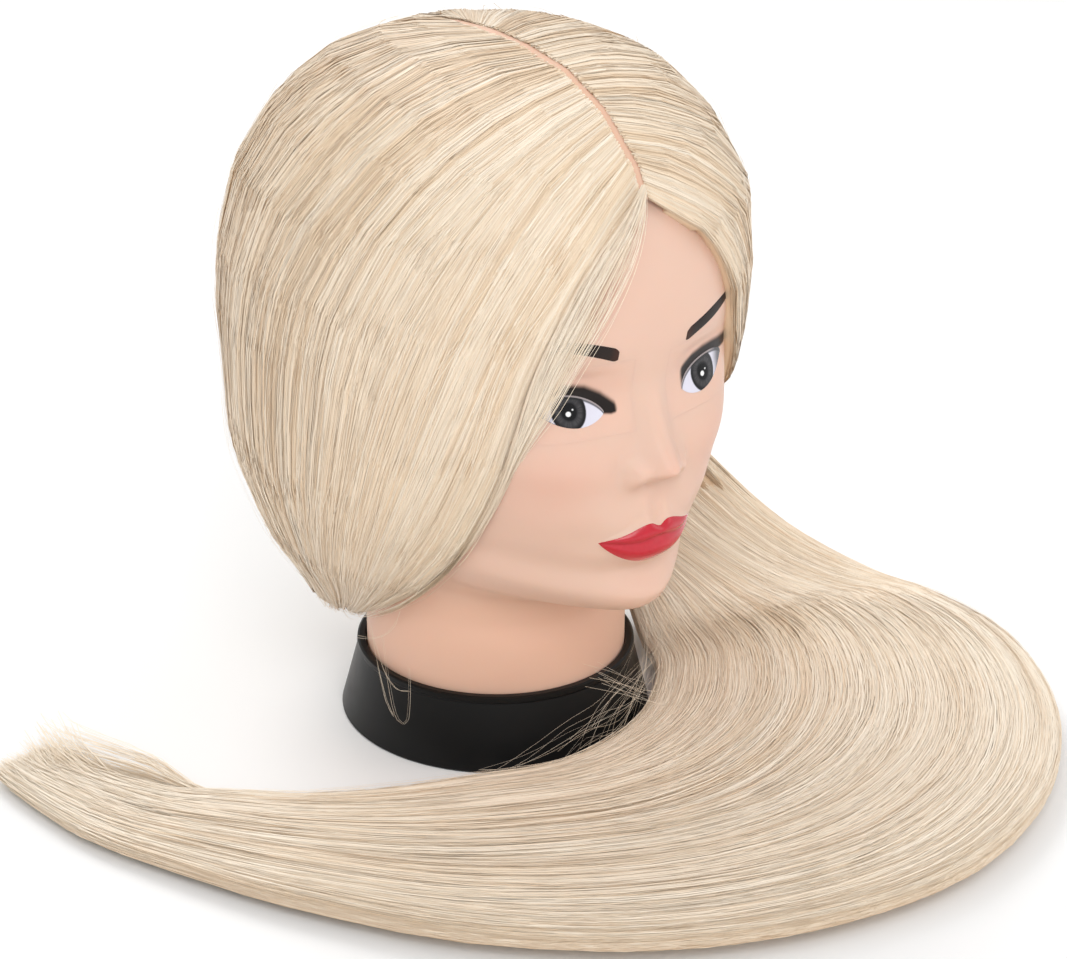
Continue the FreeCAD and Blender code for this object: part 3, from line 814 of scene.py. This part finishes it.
# the same over the left half, where the strands run on into the hair that falls to the table
leftKeys = [
    [(0.9, -89, 246), (12, -93, 238), (28, -93, 224), (42, -90, 204), (50, -84, 180),
     (58, -69, 160), (67, -46, 140), (76, -26, 122), (86, -15, 105), (103, -13, 83),
     (126, -20, 58), (158, -32, 34), (186, -48, 14)],
    [(0.9, -82, 256), (28, -87, 243), (54, -82, 214), (66, -72, 180), (76, -48, 150),
     (83, -20, 127), (91, -5, 107), (108, -6, 81), (130, -12, 56), (158, -24, 34), (184, -40, 12)],
    [(0.9, -62, 273), (34, -66, 262), (66, -60, 236), (84, -46, 204), (92, -28, 170),
     (94, -6, 136), (93, 10, 108), (104, 8, 80), (124, -2, 54), (150, -14, 30), (172, -26, 11)],
    [(0.9, -38, 283), (36, -36, 278), (70, -30, 258), (90, -18, 226), (97, 0, 190),
     (96, 16, 150), (90, 24, 110), (94, 20, 78), (110, 10, 50), (134, 0, 26), (154, -8, 11)],
    [(0.9, -14, 287), (36, -8, 282), (70, 2, 264), (90, 16, 230), (97, 32, 188),
     (93, 40, 144), (84, 38, 104), (84, 32, 74), (96, 22, 48), (118, 10, 24), (138, 4, 11)],
    [(1, 8, 288), (28, 30, 280), (58, 52, 254), (76, 66, 218), (82, 72, 176),
     (76, 70, 132), (73, 60, 96), (77, 45, 68), (87, 31, 42), (104, 18, 22), (120, 12, 11)],
    [(1, 24, 287), (16, 56, 276), (34, 84, 246), (46, 98, 208), (50, 102, 168),
     (52, 96, 128), (60, 79, 94), (69, 58, 64), (79, 39, 38), (92, 24, 18), (104, 18, 11)],
    [(0, 34, 286), (-3, 66, 276), (-6, 96, 250), (-6, 114, 212), (-2, 118, 170),
     (8, 113, 132), (26, 100, 100), (46, 80, 74), (61, 59, 50), (73, 39, 28), (80, 26, 12)],
]


def turned(angle, radius):
    # a place on the table, by its angle from the mannequin's left towards its front
    a = math.radians(angle)
    return radius * math.cos(a), -radius * math.sin(a)


# slices across the hanging and lying hair: outer edge, inner edge, thickness
lieHeight = 10.4          # the middle of the lying hair over the table
tailThickness = 20.0
tailRows = [
    (80, 14, 124) + turned(-37, 77) + (72, 20), (111, -8, 82) + turned(-26, 78) + (50, 22),
    (149, -25, 42) + turned(-9, 78) + (28, 23)]
for outerAngle, outerRadius, innerAngle, innerRadius, thinner in (
        (15, 205, 10, 71, 0), (27, 220, 31, 68, 0), (38, 228, 48, 67, 0), (51, 234, 66, 69, 0),
        (65, 236, 82, 72, 0), (80, 233, 99, 77, 0), (96, 222, 117, 82, 1), (113, 209, 136, 88, 2),
        (131, 196, 152, 104, 3), (149, 187, 165, 122, 5), (164, 187, 176, 138, 8),
        (180, 196, 184, 157, 11), (194, 203, 196, 183, 14), (198, 204, 200, 187, 16)):
    level = lieHeight - thinner / 2
    tailRows.append(turned(outerAngle, outerRadius) + (level,)
                    + turned(innerAngle, innerRadius) + (level, tailThickness - thinner))
tailRows = np.array(tailRows)


def valueNoise(a, b):
    # random heights at whole numbers joined smoothly, from nothing to one
    i, j = np.floor(a).astype(int), np.floor(b).astype(int)
    u, v = a - i, b - j
    u, v = u * u * (3 - 2 * u), v * v * (3 - 2 * v)
    t = noiseTable
    low = t[i % 256, j % 256] * (1 - u) + t[(i + 1) % 256, j % 256] * u
    high = t[i % 256, (j + 1) % 256] * (1 - u) + t[(i + 1) % 256, (j + 1) % 256] * u
    return low * (1 - v) + high * v


def evenly(keys, count):
    # a curve through the keys, read at evenly spaced lengths
    keys = np.array(keys, dtype=float)
    fine = smoothRows(keys, np.linspace(0, len(keys) - 1, count * 8))
    run = np.concatenate([[0], np.cumsum(np.linalg.norm(np.diff(fine, axis=0), axis=1))])
    want = np.linspace(0, run[-1], count)
    return np.stack([np.interp(want, run, fine[:, k]) for k in range(3)], axis=-1)


def ontoCap(points):
    # each point moves along its ray from the head's middle to the cap's surface
    rays = points - capMiddle
    low, high = np.full(rays.shape[:-1], 0.4), np.full(rays.shape[:-1], 1.8)
    for _ in range(30):
        t = (low + high) / 2
        at = capMiddle + rays * t[..., None]
        row = [np.interp(at[..., 2], capRows[:, 0], capRows[:, k]) for k in range(1, 5)]
        # fuller at the top of the left half and low at the right and the back
        back = row[1] + 5.5 * step(150.0, 100.0, at[..., 2])
        wide = row[2] + np.where(at[..., 0] > 0, 5.0 * step(195.0, 235.0, at[..., 2]),
                                 4.0 * step(165.0, 105.0, at[..., 2]))
        middle, half = (row[0] + back) / 2, (back - row[0]) / 2
        value = ((np.abs(at[..., 0]) / wide) ** row[3]
                 + (np.abs(at[..., 1] - middle) / half) ** row[3])
        outside = (value > 1) | (at[..., 2] > capRows[-1, 0]) | (at[..., 2] < capRows[0, 0])
        high = np.where(outside, t, high)
        low = np.where(outside, low, t)
    return capMiddle + rays * ((low + high) / 2)[..., None]


sheetRows = 72            # rows of every sheet's grid, across the strands


def capSheet(keys, columns, leaves, joins):
    # key strands blended into a grid: rows from the face to the back, columns root to end;
    # the pull to the cap fades out between the heights joins and leaves
    strands = np.array([evenly(key, columns) for key in keys])
    grid = smoothRows(strands, np.linspace(0, len(keys) - 1, sheetRows))
    weight = step(leaves, joins, grid[..., 2])[..., None]
    return grid * (1 - weight) + ontoCap(grid) * weight


def unit(vectors):
    return vectors / np.maximum(np.linalg.norm(vectors, axis=-1, keepdims=True), 1e-9)


def sheetNormals(grid):
    # square to both directions of the grid, and away from the head's middle
    normal = unit(np.cross(np.gradient(grid, axis=0), np.gradient(grid, axis=1)))
    away = (normal * (grid - capMiddle)).sum(axis=-1).mean()
    return -normal if away < 0 else normal


def tailSheet(rows, columns, top=True):
    # the upper or under side of the hanging and lying hair, from the outer edge to the inner
    v = np.linspace(0.0, 1.0, rows)
    places = np.linspace(0.0, len(tailRows) - 1.0, columns)
    row = smoothRows(tailRows, places)
    outer, inner, thick = row[:, 0:3], row[:, 3:6], row[:, 6]
    turn = v * math.pi
    across = (1 - np.cos(turn)) / 2
    middle = outer[None] * (1 - across[:, None, None]) + inner[None] * across[:, None, None]
    flow = np.gradient(middle, axis=1)
    wide = np.broadcast_to((outer - inner)[None], middle.shape)
    up = unit(np.cross(flow, wide))
    if up[rows // 2, columns // 2, 2] < 0:
        up = -up
    lift = np.abs(np.sin(turn))[:, None] ** 0.8 * thick[None] / 2
    sign = 1.0 if top else -1.0
    return middle + up * (lift * sign)[..., None], up * sign


def readGrid(grid, p, s):
    # grid values between the rows and columns; p and s run from nothing to one
    rows, columns = grid.shape[:2]
    a = np.clip(p, 0, 1) * (rows - 1)
    b = np.clip(s, 0, 1) * (columns - 1)
    i = np.minimum(a.astype(int), rows - 2)
    j = np.minimum(b.astype(int), columns - 2)
    u, v = (a - i)[..., None], (b - j)[..., None]
    return ((grid[i, j] * (1 - u) + grid[i + 1, j] * u) * (1 - v)
            + (grid[i, j + 1] * (1 - u) + grid[i + 1, j + 1] * u) * v)


def hairMaterial(name, roughness):
    material, tree, shader = newMaterial(name)
    ramp = tree.nodes.new("ShaderNodeValToRGB")
    ramp.color_ramp.elements[0].color = hair["dark"]
    ramp.color_ramp.elements[1].color = hair["light"]
    middle = ramp.color_ramp.elements.new(0.5)
    middle.color = hair["mid"]
    tree.links.new(readAttribute(tree, "tone", "Fac"), ramp.inputs["Fac"])
    tree.links.new(ramp.outputs["Color"], shader.inputs["Base Color"])
    shader.inputs["Roughness"].default_value = roughness
    shader.inputs["Specular IOR Level"].default_value = 0.5
    return material


def cellUv(piece, strands, points):
    # each strand has its own small cell, in a square array of cells
    side = math.ceil(math.sqrt(strands))
    n = np.arange(strands)
    column, row = n % side, n // side
    s = np.linspace(0.1, 0.9, points)
    u = (column[:, None, None] + np.array([0.2, 0.8])[None, None, :] + 0 * s[None, :, None]) / side
    v = (row[:, None, None] + s[None, :, None] + 0 * u) / side
    uv = np.stack([u, v], axis=-1).reshape(-1, 2)
    corners = np.empty(len(piece.data.loops), dtype=np.int32)
    piece.data.loops.foreach_get("vertex_index", corners)
    layer = piece.data.uv_layers.new(name="OFBake")
    layer.data.foreach_set("uv", uv[corners].astype(np.float32).ravel())


floorGap = 0.5            # the hair lies this far above the table
strandShape = {
    "roll": 0.5,          # how far a strand's face may turn, in radians
    "bulge": 0.75,        # how far its shading leans out at its two edges
}


def addStrands(name, centre, normal, width, tone):
    # flat ribbons, two points across, whose shading bulges like round hairs;
    # centre and normal: strands by points by 3; width and tone: strands by points
    strands, points = centre.shape[:2]
    centre[..., 2] = np.maximum(centre[..., 2], floorGap)
    flow = unit(np.gradient(centre, axis=1))
    normal = unit(normal - flow * (normal * flow).sum(axis=-1, keepdims=True))
    side = np.cross(flow, normal)
    roll, bulge = strandShape["roll"], strandShape["bulge"]
    tilt = (chance.random((strands, 1, 1)) - 0.5) * 2 * roll
    side, normal = (side * np.cos(tilt) + normal * np.sin(tilt),
                    normal * np.cos(tilt) - side * np.sin(tilt))
    edge = side * (width / 2)[..., None]
    both = np.stack([centre - edge, centre + edge], axis=2)
    both[..., 2] = np.maximum(both[..., 2], floorGap)
    shade = unit(np.stack([normal - side * bulge, normal + side * bulge], axis=2))
    k = np.arange(points - 1)
    one = np.stack([2 * k, 2 * k + 1, 2 * k + 3, 2 * k + 2], axis=-1)
    faces = (one[None] + (np.arange(strands) * 2 * points)[:, None, None]).reshape(-1, 4)
    piece = addMesh(name, both, faces, strandPaint)
    setAttribute(piece, "tone", np.repeat(tone[..., None], 2, axis=2))
    piece.data.normals_split_custom_set_from_vertices(shade.reshape(-1, 3).astype(np.float32))
    cellUv(piece, strands, points)


def growLocks(grid, normals, p, first, last, points, style):
    # strands over a sheet: each keeps near its place across, drawn in to the middle of its
    # lock and lifted with it; the result is each strand's line, normals, tones and lengths
    n = len(p)
    k = style
    p = p[:, None]
    t = np.linspace(0.0, 1.0, points)[None, :]
    s = first[:, None] + (last - first)[:, None] * t
    rough = valueNoise(p * k["locks"], s * k["lockTurns"] + k["seed"])
    fine = valueNoise(p * k["locks"] * 4.3 + 50, s * k["lockTurns"] * 2 + 9)
    wander = chance.random((n, 1)) * 200
    own = valueNoise(wander, s * k["ownTurns"] + wander)
    place = (p + (rough - 0.5) * k["lockDrift"] + (fine - 0.5) * k["lockDrift"] * 0.35
             + (own - 0.5) * k["ownDrift"] * step(0.0, 0.12, s))
    cells = k["locks"] * 2.0
    middle = (np.floor(p * cells + 0.6 * valueNoise(p * 9, s * 0 + 3)) + 0.5) / cells
    place = place + (middle - p) * k["gather"] * step(0.02, 0.3, s)
    depth = chance.random((n, 1))
    lift = (k["base"] + k["spread"] * (depth - 0.5)
            + k["lockLift"] * ((rough - 0.5) * 2 + 0.6 * (fine - 0.5) * 2)
            + k["ownLift"] * (valueNoise(wander + 77, s * k["ownTurns"] * 1.7) - 0.5))
    lift = lift - k["rootDip"] * np.exp(-s / 0.035)
    lift = lift - k["edgeSink"] * np.exp(-np.clip(place, 0, 1) / 0.035) * step(0.0, 0.25, s)
    up = readGrid(normals, place, s)
    centre = readGrid(grid, place, s) + up * lift[..., None]
    # tones vary by lock and strand at random, and strands that lie lower are painted darker, as
    # painted shade among the strands
    tone = (k["tone"] + 0.34 * (valueNoise(p * k["locks"] * 2.2 + 20, s * 1.3) - 0.5)
            + 0.40 * (valueNoise(p * k["locks"] * 9 + 90, s * 2.1) - 0.5)
            + 0.22 * (chance.random((n, 1)) - 0.5) + 0.16 * (depth - 0.5))
    return centre, up, tone, s


shell = {
    "rows": 80,
    "columns": 100,
    # painted shade: the body's tone is darker than the strands', for the shade inside the hair
    "tone": 0.30,
    "streak": 0.3,            # how far the tone varies
    "relief": 0.7,            # how far the upper side rises and falls with it
    "top": -2.0,              # its two sides, from the middle of the strands
    "bottom": -8.0,
}


def bodyShell(name, grid, normals, pEdges, sEdges):
    # a closed streaky sheet under the strands, painted darker than them as the shade inside the
    # hair: an upper and an under grid joined round the rim
    rows, columns = shell["rows"], shell["columns"]
    p, s = np.meshgrid(np.linspace(*pEdges, rows), np.linspace(*sEdges, columns), indexing="ij")
    surface, up = readGrid(grid, p, s), readGrid(normals, p, s)
    streak = valueNoise(p * 160, s * 5 + 3) * 0.6 + valueNoise(p * 60, s * 3 + 8) * 0.4
    top = surface + up * (shell["top"] + shell["relief"] * (streak - 0.5))[..., None]
    bottom = surface + up * shell["bottom"]
    top[..., 2] = np.maximum(top[..., 2], 2 * floorGap)
    bottom[..., 2] = np.maximum(bottom[..., 2], floorGap)
    count = rows * columns
    r, c = np.arange(rows - 1), np.arange(columns - 1)
    loop = np.concatenate([c, r * columns + columns - 1, (rows - 1) * columns + c[::-1] + 1,
                           (r[::-1] + 1) * columns])
    following = np.roll(loop, -1)
    rim = np.stack([following, loop, loop + count, following + count], axis=-1)
    quads = np.concatenate([gridFaces(rows, columns),
                            gridFaces(rows, columns, flip=True) + count, rim])
    facing = np.cross(top[0, 1] - top[0, 0], top[1, 0] - top[0, 0]) @ up[0, 0]
    if facing < 0:
        quads = quads[:, ::-1]
    piece = addMesh(name, [top, bottom], quads, bodyPaint)
    tones = shell["tone"] + shell["streak"] * (streak - 0.5)
    setAttribute(piece, "tone", [tones, np.full_like(tones, shell["tone"])])


strandPaint = hairMaterial("hairStrands", hair["roughness"])
bodyPaint = hairMaterial("hairBody", 0.55)

rightGrid = capSheet(rightKeys, 96, leaves=58.0, joins=84.0)
rightNormals = sheetNormals(rightGrid)
leftGrid = capSheet(leftKeys, 120, leaves=88.0, joins=125.0)
leftNormals = sheetNormals(leftGrid)
topGrid, topNormals = tailSheet(sheetRows, 160, top=True)
underGrid, underNormals = tailSheet(sheetRows, 160, top=False)


tailBody = {
    "along": 0.86,            # the share of the tail's length that has a body
    "sink": 1.6,              # below the tail's two sides
    "endWaist": 0.10,         # how thin it is where it ends
    # painted shade: darker than the strands, for the shade inside the hanging and lying hair
    "tone": 0.30,
    "streak": 0.3,
}


def makeBodies():
    bodyShell("hair_body_right", rightGrid, rightNormals, (0.012, 1.0), (0.035, 1.0))
    bodyShell("hair_body_left", leftGrid, leftNormals, (0.012, 1.0), (0.035, 0.98))
    # the tail's body: its upper and under sides, drawn in to their middle line near the end
    keep = int(topGrid.shape[1] * tailBody["along"])
    upper = (topGrid - topNormals * tailBody["sink"])[:, :keep]
    under = (underGrid - underNormals * tailBody["sink"])[1:-1, :keep]
    ring = np.concatenate([upper, under[::-1]], axis=0).transpose(1, 0, 2)
    heart = ring.mean(axis=1, keepdims=True)
    waist = tailBody["endWaist"] + 0.88 * np.sqrt(1 - np.linspace(0, 1, keep) ** 6)
    ring = heart + (ring - heart) * waist[:, None, None] * np.array([1.0, 1.0, 0.9])
    around = ring.shape[1]
    points = np.concatenate([ring.reshape(-1, 3), ring[[0, -1]].mean(axis=1)])
    k = np.arange(around)
    n = (k + 1) % around
    last = (keep - 1) * around
    end = np.full(around, len(points) - 2)
    caps = np.concatenate([np.stack([n, k, end], axis=-1),
                           np.stack([last + k, last + n, end + 1], axis=-1)])
    quads = gridFaces(keep, around, closeColumns=True)
    piece = addMesh("hair_body_tail", points, quads, bodyPaint, triangles=caps)
    # one face tells whether the whole form faces outward
    row, column = 20, 5
    facing = np.array(piece.data.polygons[around * row + column].normal)
    if facing @ (ring[row, column] - ring[row].mean(axis=0)) < 0:
        piece.data.flip_normals()
    a, b = np.meshgrid(np.arange(keep), np.arange(around), indexing="ij")
    # the tail's body is painted darker than its strands, as shade inside the hair
    tones = tailBody["tone"] + tailBody["streak"] * (valueNoise(b * 1.1, a * 0.05) - 0.5)
    setAttribute(piece, "tone", np.append(tones, [tailBody["tone"]] * 2))


# how the strands gather into locks: locks is their number across, the turns how often they
# sway along their length, the drifts and lifts how far they stray across and stand up
headStyle = {
    "seed": 0.0, "locks": 30.0, "lockTurns": 2.2, "lockDrift": 0.016, "ownTurns": 3.0,
    "ownDrift": 0.014, "gather": 0.20, "base": -0.7, "spread": 1.3, "lockLift": 0.27,
    "ownLift": 0.6, "rootDip": 0.9, "edgeSink": 2.4, "tone": 0.60,
}
leftStyle = dict(headStyle, lockLift=0.16, gather=0.10, locks=22.0, ownLift=0.5)
tailStyle = {
    "seed": 4.0, "locks": 26.0, "lockTurns": 3.4, "lockDrift": 0.030, "ownTurns": 5.0,
    "ownDrift": 0.040, "gather": 0.28, "base": -0.9, "spread": 2.2, "lockLift": 0.42,
    # the tone is lighter than on the head: painted light on the hair that lies open to the lamps
    "ownLift": 1.2, "rootDip": 0.0, "edgeSink": 0.0, "tone": 0.80,
}
veilStyle = dict(headStyle, ownDrift=0.35, lockDrift=0.12, locks=9.0, gather=0.5, base=0.0,
                 spread=1.6, rootDip=0.0, edgeSink=0.0, tone=0.85)
looseStyle = dict(tailStyle, ownDrift=0.10, base=0.8, spread=1.6, tone=0.85)


def makeHeadHair(name, grid, normals, count, points, pieces, style):
    for number in range(pieces):
        n = count // pieces
        # fewer strands near the face's edge, so that it is thin there
        p = chance.random(n) ** 1.04
        p = p + (0.05 * np.sqrt(chance.random(n)) - p) * (p < 0.035)
        first = 0.001 + 0.007 * chance.random(n)
        last = 1.0 - 0.10 * chance.random(n) ** 2
        centre, up, tone, s = growLocks(grid, normals, p, first, last, points, style)
        width = 0.40 * (0.6 + 0.8 * chance.random((n, 1))) * (1 - 0.6 * step(0.9, 1.0, s))
        addStrands("%s_%d" % (name, number + 1), centre, up, width, tone)


tips = {
    "stray": (16.0, 22.0, 7.0),       # how far a strand's end may stray, each way in all
    "tuftStray": (4.0, 7.0, 0.0),
    "level": 9.0,                     # the height that the ends settle towards
    "share": 0.28,                    # of the strands at a tuft, how many stand up with it
    # where along, where across, how wide, how high and how far sideways each tuft stands
    "tufts": [(0.93, 0.70, 0.040, 11.0, 2.0), (0.90, 0.90, 0.025, 13.0, 5.0),
              (0.83, 0.97, 0.018, 9.0, 6.0)],
}


def frayTips(centre, s, p):
    # towards its end each strand strays sideways and settles, and a few small tufts stand up
    n = len(p)
    late = step(0.76, 1.0, s)[..., None]
    stray = (chance.random((n, 1, 3)) - 0.5) * np.array(tips["stray"])
    centre = centre + stray * late**1.5
    tuft = np.floor(p * 11)[:, None]
    lock = (valueNoise(tuft * 3.7, tuft * 1.3 + 2) - 0.5)[..., None] * np.array(tips["tuftStray"])
    centre = centre + lock * late
    centre = centre + (tips["level"] - centre[..., 2:]) * np.array([0.0, 0.0, 0.55]) * late
    for reach, across, spread, rise, lean in tips["tufts"]:
        near = hill((p[:, None, None] - across) / spread)
        near = near * (chance.random((n, 1, 1)) < tips["share"])
        late = step(reach, reach + 0.07, s)[..., None] * near
        centre = centre + late * np.array([lean, 6.0, rise])
    return centre


tail = {
    "pieces": 5,
    "strands": 1950,
    "points": 34,
    "behindStrands": 1800,    # on the under side, seen only where the hair hangs
    "behindPoints": 20,
}


def makeTailHair():
    for number in range(tail["pieces"]):
        n = tail["strands"]
        p = chance.random(n)
        first = 0.004 + 0.05 * chance.random(n)
        last = 0.972 - 0.21 * chance.random(n) ** 1.8
        centre, up, tone, s = growLocks(topGrid, topNormals, p, first, last, tail["points"],
                                        tailStyle)
        centre = frayTips(centre, s, p)
        tone = tone + 0.25 * step(0.78, 0.98, s)
        width = 0.42 * (0.6 + 0.8 * chance.random((n, 1))) * (1 - 0.55 * step(0.86, 1.0, s))
        addStrands("hair_tail_%d" % (number + 1), centre, up, width, tone)
    n = tail["behindStrands"]
    p = chance.random(n)
    first = 0.004 + 0.02 * chance.random(n)
    last = 0.27 + 0.06 * chance.random(n)
    centre, up, tone, s = growLocks(underGrid, underNormals, p, first, last,
                                    tail["behindPoints"], tailStyle)
    width = 0.55 * (0.7 + 0.6 * chance.random((n, 1))) * np.ones_like(s)
    addStrands("hair_fall_behind", centre, up, width, tone)


scalp = {
    "along": (-90.0, 34.0),
    "halfWidth": 4.0,
    "rows": 70,
    "columns": 9,
    "depth": 1.3,                     # below the hair, and more towards its edges
    "edgeDepth": 0.05,
    "tint": (1.0, 0.93, 0.84),
}


def makeScalpStrip():
    # a strip of bare scalp that shows along the parting, a little under the hair
    rows, columns, half = scalp["rows"], scalp["columns"], scalp["halfWidth"]
    y, x = np.meshgrid(np.linspace(*scalp["along"], rows), np.linspace(-half, half, columns),
                       indexing="ij")
    guess = np.stack([x, y, np.interp(y, [-90, -60, -20, 34], [246, 272, 286, 285])], axis=-1)
    surface = ontoCap(guess)
    normal = sheetNormals(surface)
    depth = scalp["depth"] + scalp["edgeDepth"] * np.square(x)
    points = surface - normal * depth[..., None]
    facing = np.cross(points[0, 1] - points[0, 0], points[1, 0] - points[0, 0]) @ normal[0, 0]
    piece = addMesh("parting_scalp", points, gridFaces(rows, columns, flip=facing < 0),
                    vinylPaint)
    setTint(piece, "paint", np.tile(scalp["tint"], (rows * columns, 1)))


makeBodies()
makeScalpStrip()
print("hair bodies are in place")
makeHeadHair("hair_right", rightGrid, rightNormals, 10000, 22, 3, headStyle)
makeHeadHair("hair_left", leftGrid, leftNormals, 7200, 26, 2, leftStyle)
print("hair on the head is in place")
makeTailHair()
print("hanging and lying hair is in place")

# the thin veil over the brow: its inner edge, and the panel's edge it joins
veilKeys = [
    [(-1, -89, 246), (-4, -93, 238), (-11, -96, 223), (-22, -96, 204), (-33, -93, 186),
     (-42, -88, 168), (-50, -78, 148), (-53, -63, 120), (-56, -43, 94), (-58, -14, 68),
     (-57, 8, 52)],
    [(-1, -87, 250), (-14, -92, 241), (-30, -93, 226), (-43, -91, 206), (-51, -87, 186),
     (-55, -82, 164), (-56, -75, 144), (-57, -61, 118), (-59, -43, 92), (-60, -14, 66),
     (-58, 10, 52)],
]
# single stray hairs, each by a few points it passes
strayKeys = [
    [(-55, 12, 46), (-60, 2, 36), (-63, -8, 24), (-62, -12, 17), (-62, -6, 22), (-60, 2, 34)],
    [(-53, 6, 44), (-60, -6, 33), (-63.5, -16, 20), (-62, -21, 18), (-59.5, -20, 28),
     (-55, -14, 38)],
    [(-54, 16, 48), (-57, 6, 40), (-60, -4, 33), (-61, -14, 30), (-59, -20, 31)],
    [(-52, -6, 60), (-56, -2, 50), (-58, 6, 44), (-60, 14, 42)],
    [(60, -30, 40), (40, -56, 26), (16, -66, 15), (-8, -67, 13), (-28, -64, 9), (-44, -54, 4)],
    [(64, -20, 34), (44, -52, 22), (22, -66, 12), (0, -69, 14), (-14, -68, 8)],
    [(66, -14, 52), (52, -40, 40), (34, -58, 24), (16, -67, 10), (4, -70, 5)],
    [(62, -26, 24), (48, -50, 30), (28, -60, 28), (10, -63, 20), (-2, -66, 8)],
    [(66, -22, 18), (44, -54, 12), (26, -64, 20), (12, -64, 28), (0, -62, 34)],
]


strays = {
    "veil": 260,
    "veilPoints": 26,
    "points": 22,
    "besideNeck": 4,          # so many of the keys lie at the neck, and the rest in front
    "neckCopies": (2, 1.5),   # copies of each key, and how far they stray
    "frontCopies": (9, 15.0),
    "width": 0.09,
    "loosePoints": 18,
    "looseWidth": 0.2,
}


def offTheBase(centre):
    # hairs that would run through the skirt or the neck are moved out to its face
    radius = np.hypot(centre[..., 0], centre[..., 1])
    skirt = 64.6 - 7.0 * np.clip(centre[..., 2] / 31.0, 0, 1)
    need = np.maximum(radius, np.where(centre[..., 2] < 32, skirt, 54.2))
    outward = np.stack([need / radius, need / radius, np.ones_like(radius)], axis=-1)
    return centre * outward, radius


def makeStrays():
    # the veil: strands between its two key strands
    near, far = (evenly(key, 60) for key in veilKeys)
    grid = near + (far - near) * np.linspace(0, 1, 12)[:, None, None]
    n = strays["veil"]
    p = chance.random(n) ** 0.55
    first = 0.25 * chance.random(n) * (chance.random(n) < 0.3)
    last = 0.55 + 0.45 * chance.random(n)
    centre, up, tone, s = growLocks(grid, sheetNormals(grid), p, first, last,
                                    strays["veilPoints"], veilStyle)
    width = 0.18 * (0.7 + 0.6 * chance.random((n, 1))) * (1 - 0.5 * step(0.8, 1.0, s))
    addStrands("hair_veil", centre, up, width, tone)
    # strays: copies of each key hair, moved and bent a little
    t = np.linspace(0, 1, strays["points"])[None, :, None]
    lines = []
    for number, key in enumerate(strayKeys):
        atNeck = number < strays["besideNeck"]
        copies, reach = strays["neckCopies"] if atNeck else strays["frontCopies"]
        shift = (chance.random((copies, 2, 3)) - 0.5) * reach
        bend = shift[:, :1] * (1 - t) + shift[:, 1:] * t
        bow = (chance.random((copies, 1, 3)) - 0.5) * reach * 0.9 * np.sin(t * math.pi)
        lines.append(evenly(key, strays["points"])[None] + bend + bow)
    centre = np.concatenate(lines)
    centre[..., 2] = np.maximum(centre[..., 2], floorGap)
    centre, radius = offTheBase(centre)
    up = np.stack([centre[..., 0], centre[..., 1], 0.3 * radius], axis=-1)
    width = np.full(centre.shape[:2], strays["width"])
    tone = 0.80 + 0.4 * (chance.random((len(centre), 1)) - 0.5) + 0 * width
    addStrands("hair_strays", centre, up, width, tone)
    # loose hairs that stand off the hair's outline, on the head and along the lying hair
    for name, grid, normals, count, reach in (
            ("hair_loose_right", rightGrid, rightNormals, 260, 2.6),
            ("hair_loose_left", leftGrid, leftNormals, 160, 2.6),
            ("hair_loose_tail", topGrid, topNormals, 620, 4.5)):
        p = chance.random(count)
        if name == "hair_loose_tail":
            # more of them at its two edges
            p = np.where(chance.random(count) < 0.6, np.round(p) * 0.98 + 0.01, p)
        first = 0.75 * chance.random(count)
        last = np.minimum(first + 0.12 + 0.25 * chance.random(count), 0.985)
        centre, up, tone, s = growLocks(grid, normals, p, first, last, strays["loosePoints"],
                                        dict(looseStyle, ownLift=reach))
        addStrands(name, centre, up, np.full_like(s, strays["looseWidth"]), tone)


makeStrays()
print("loose hairs are in place")

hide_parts("hair_right_front", "hair_right_back", "hair_nape")
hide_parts("hair_left_front", "hair_left_back")
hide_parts("hair_fall", "hair_sweep_side", "hair_sweep_corner",
            "hair_sweep_front", "hair_tips")
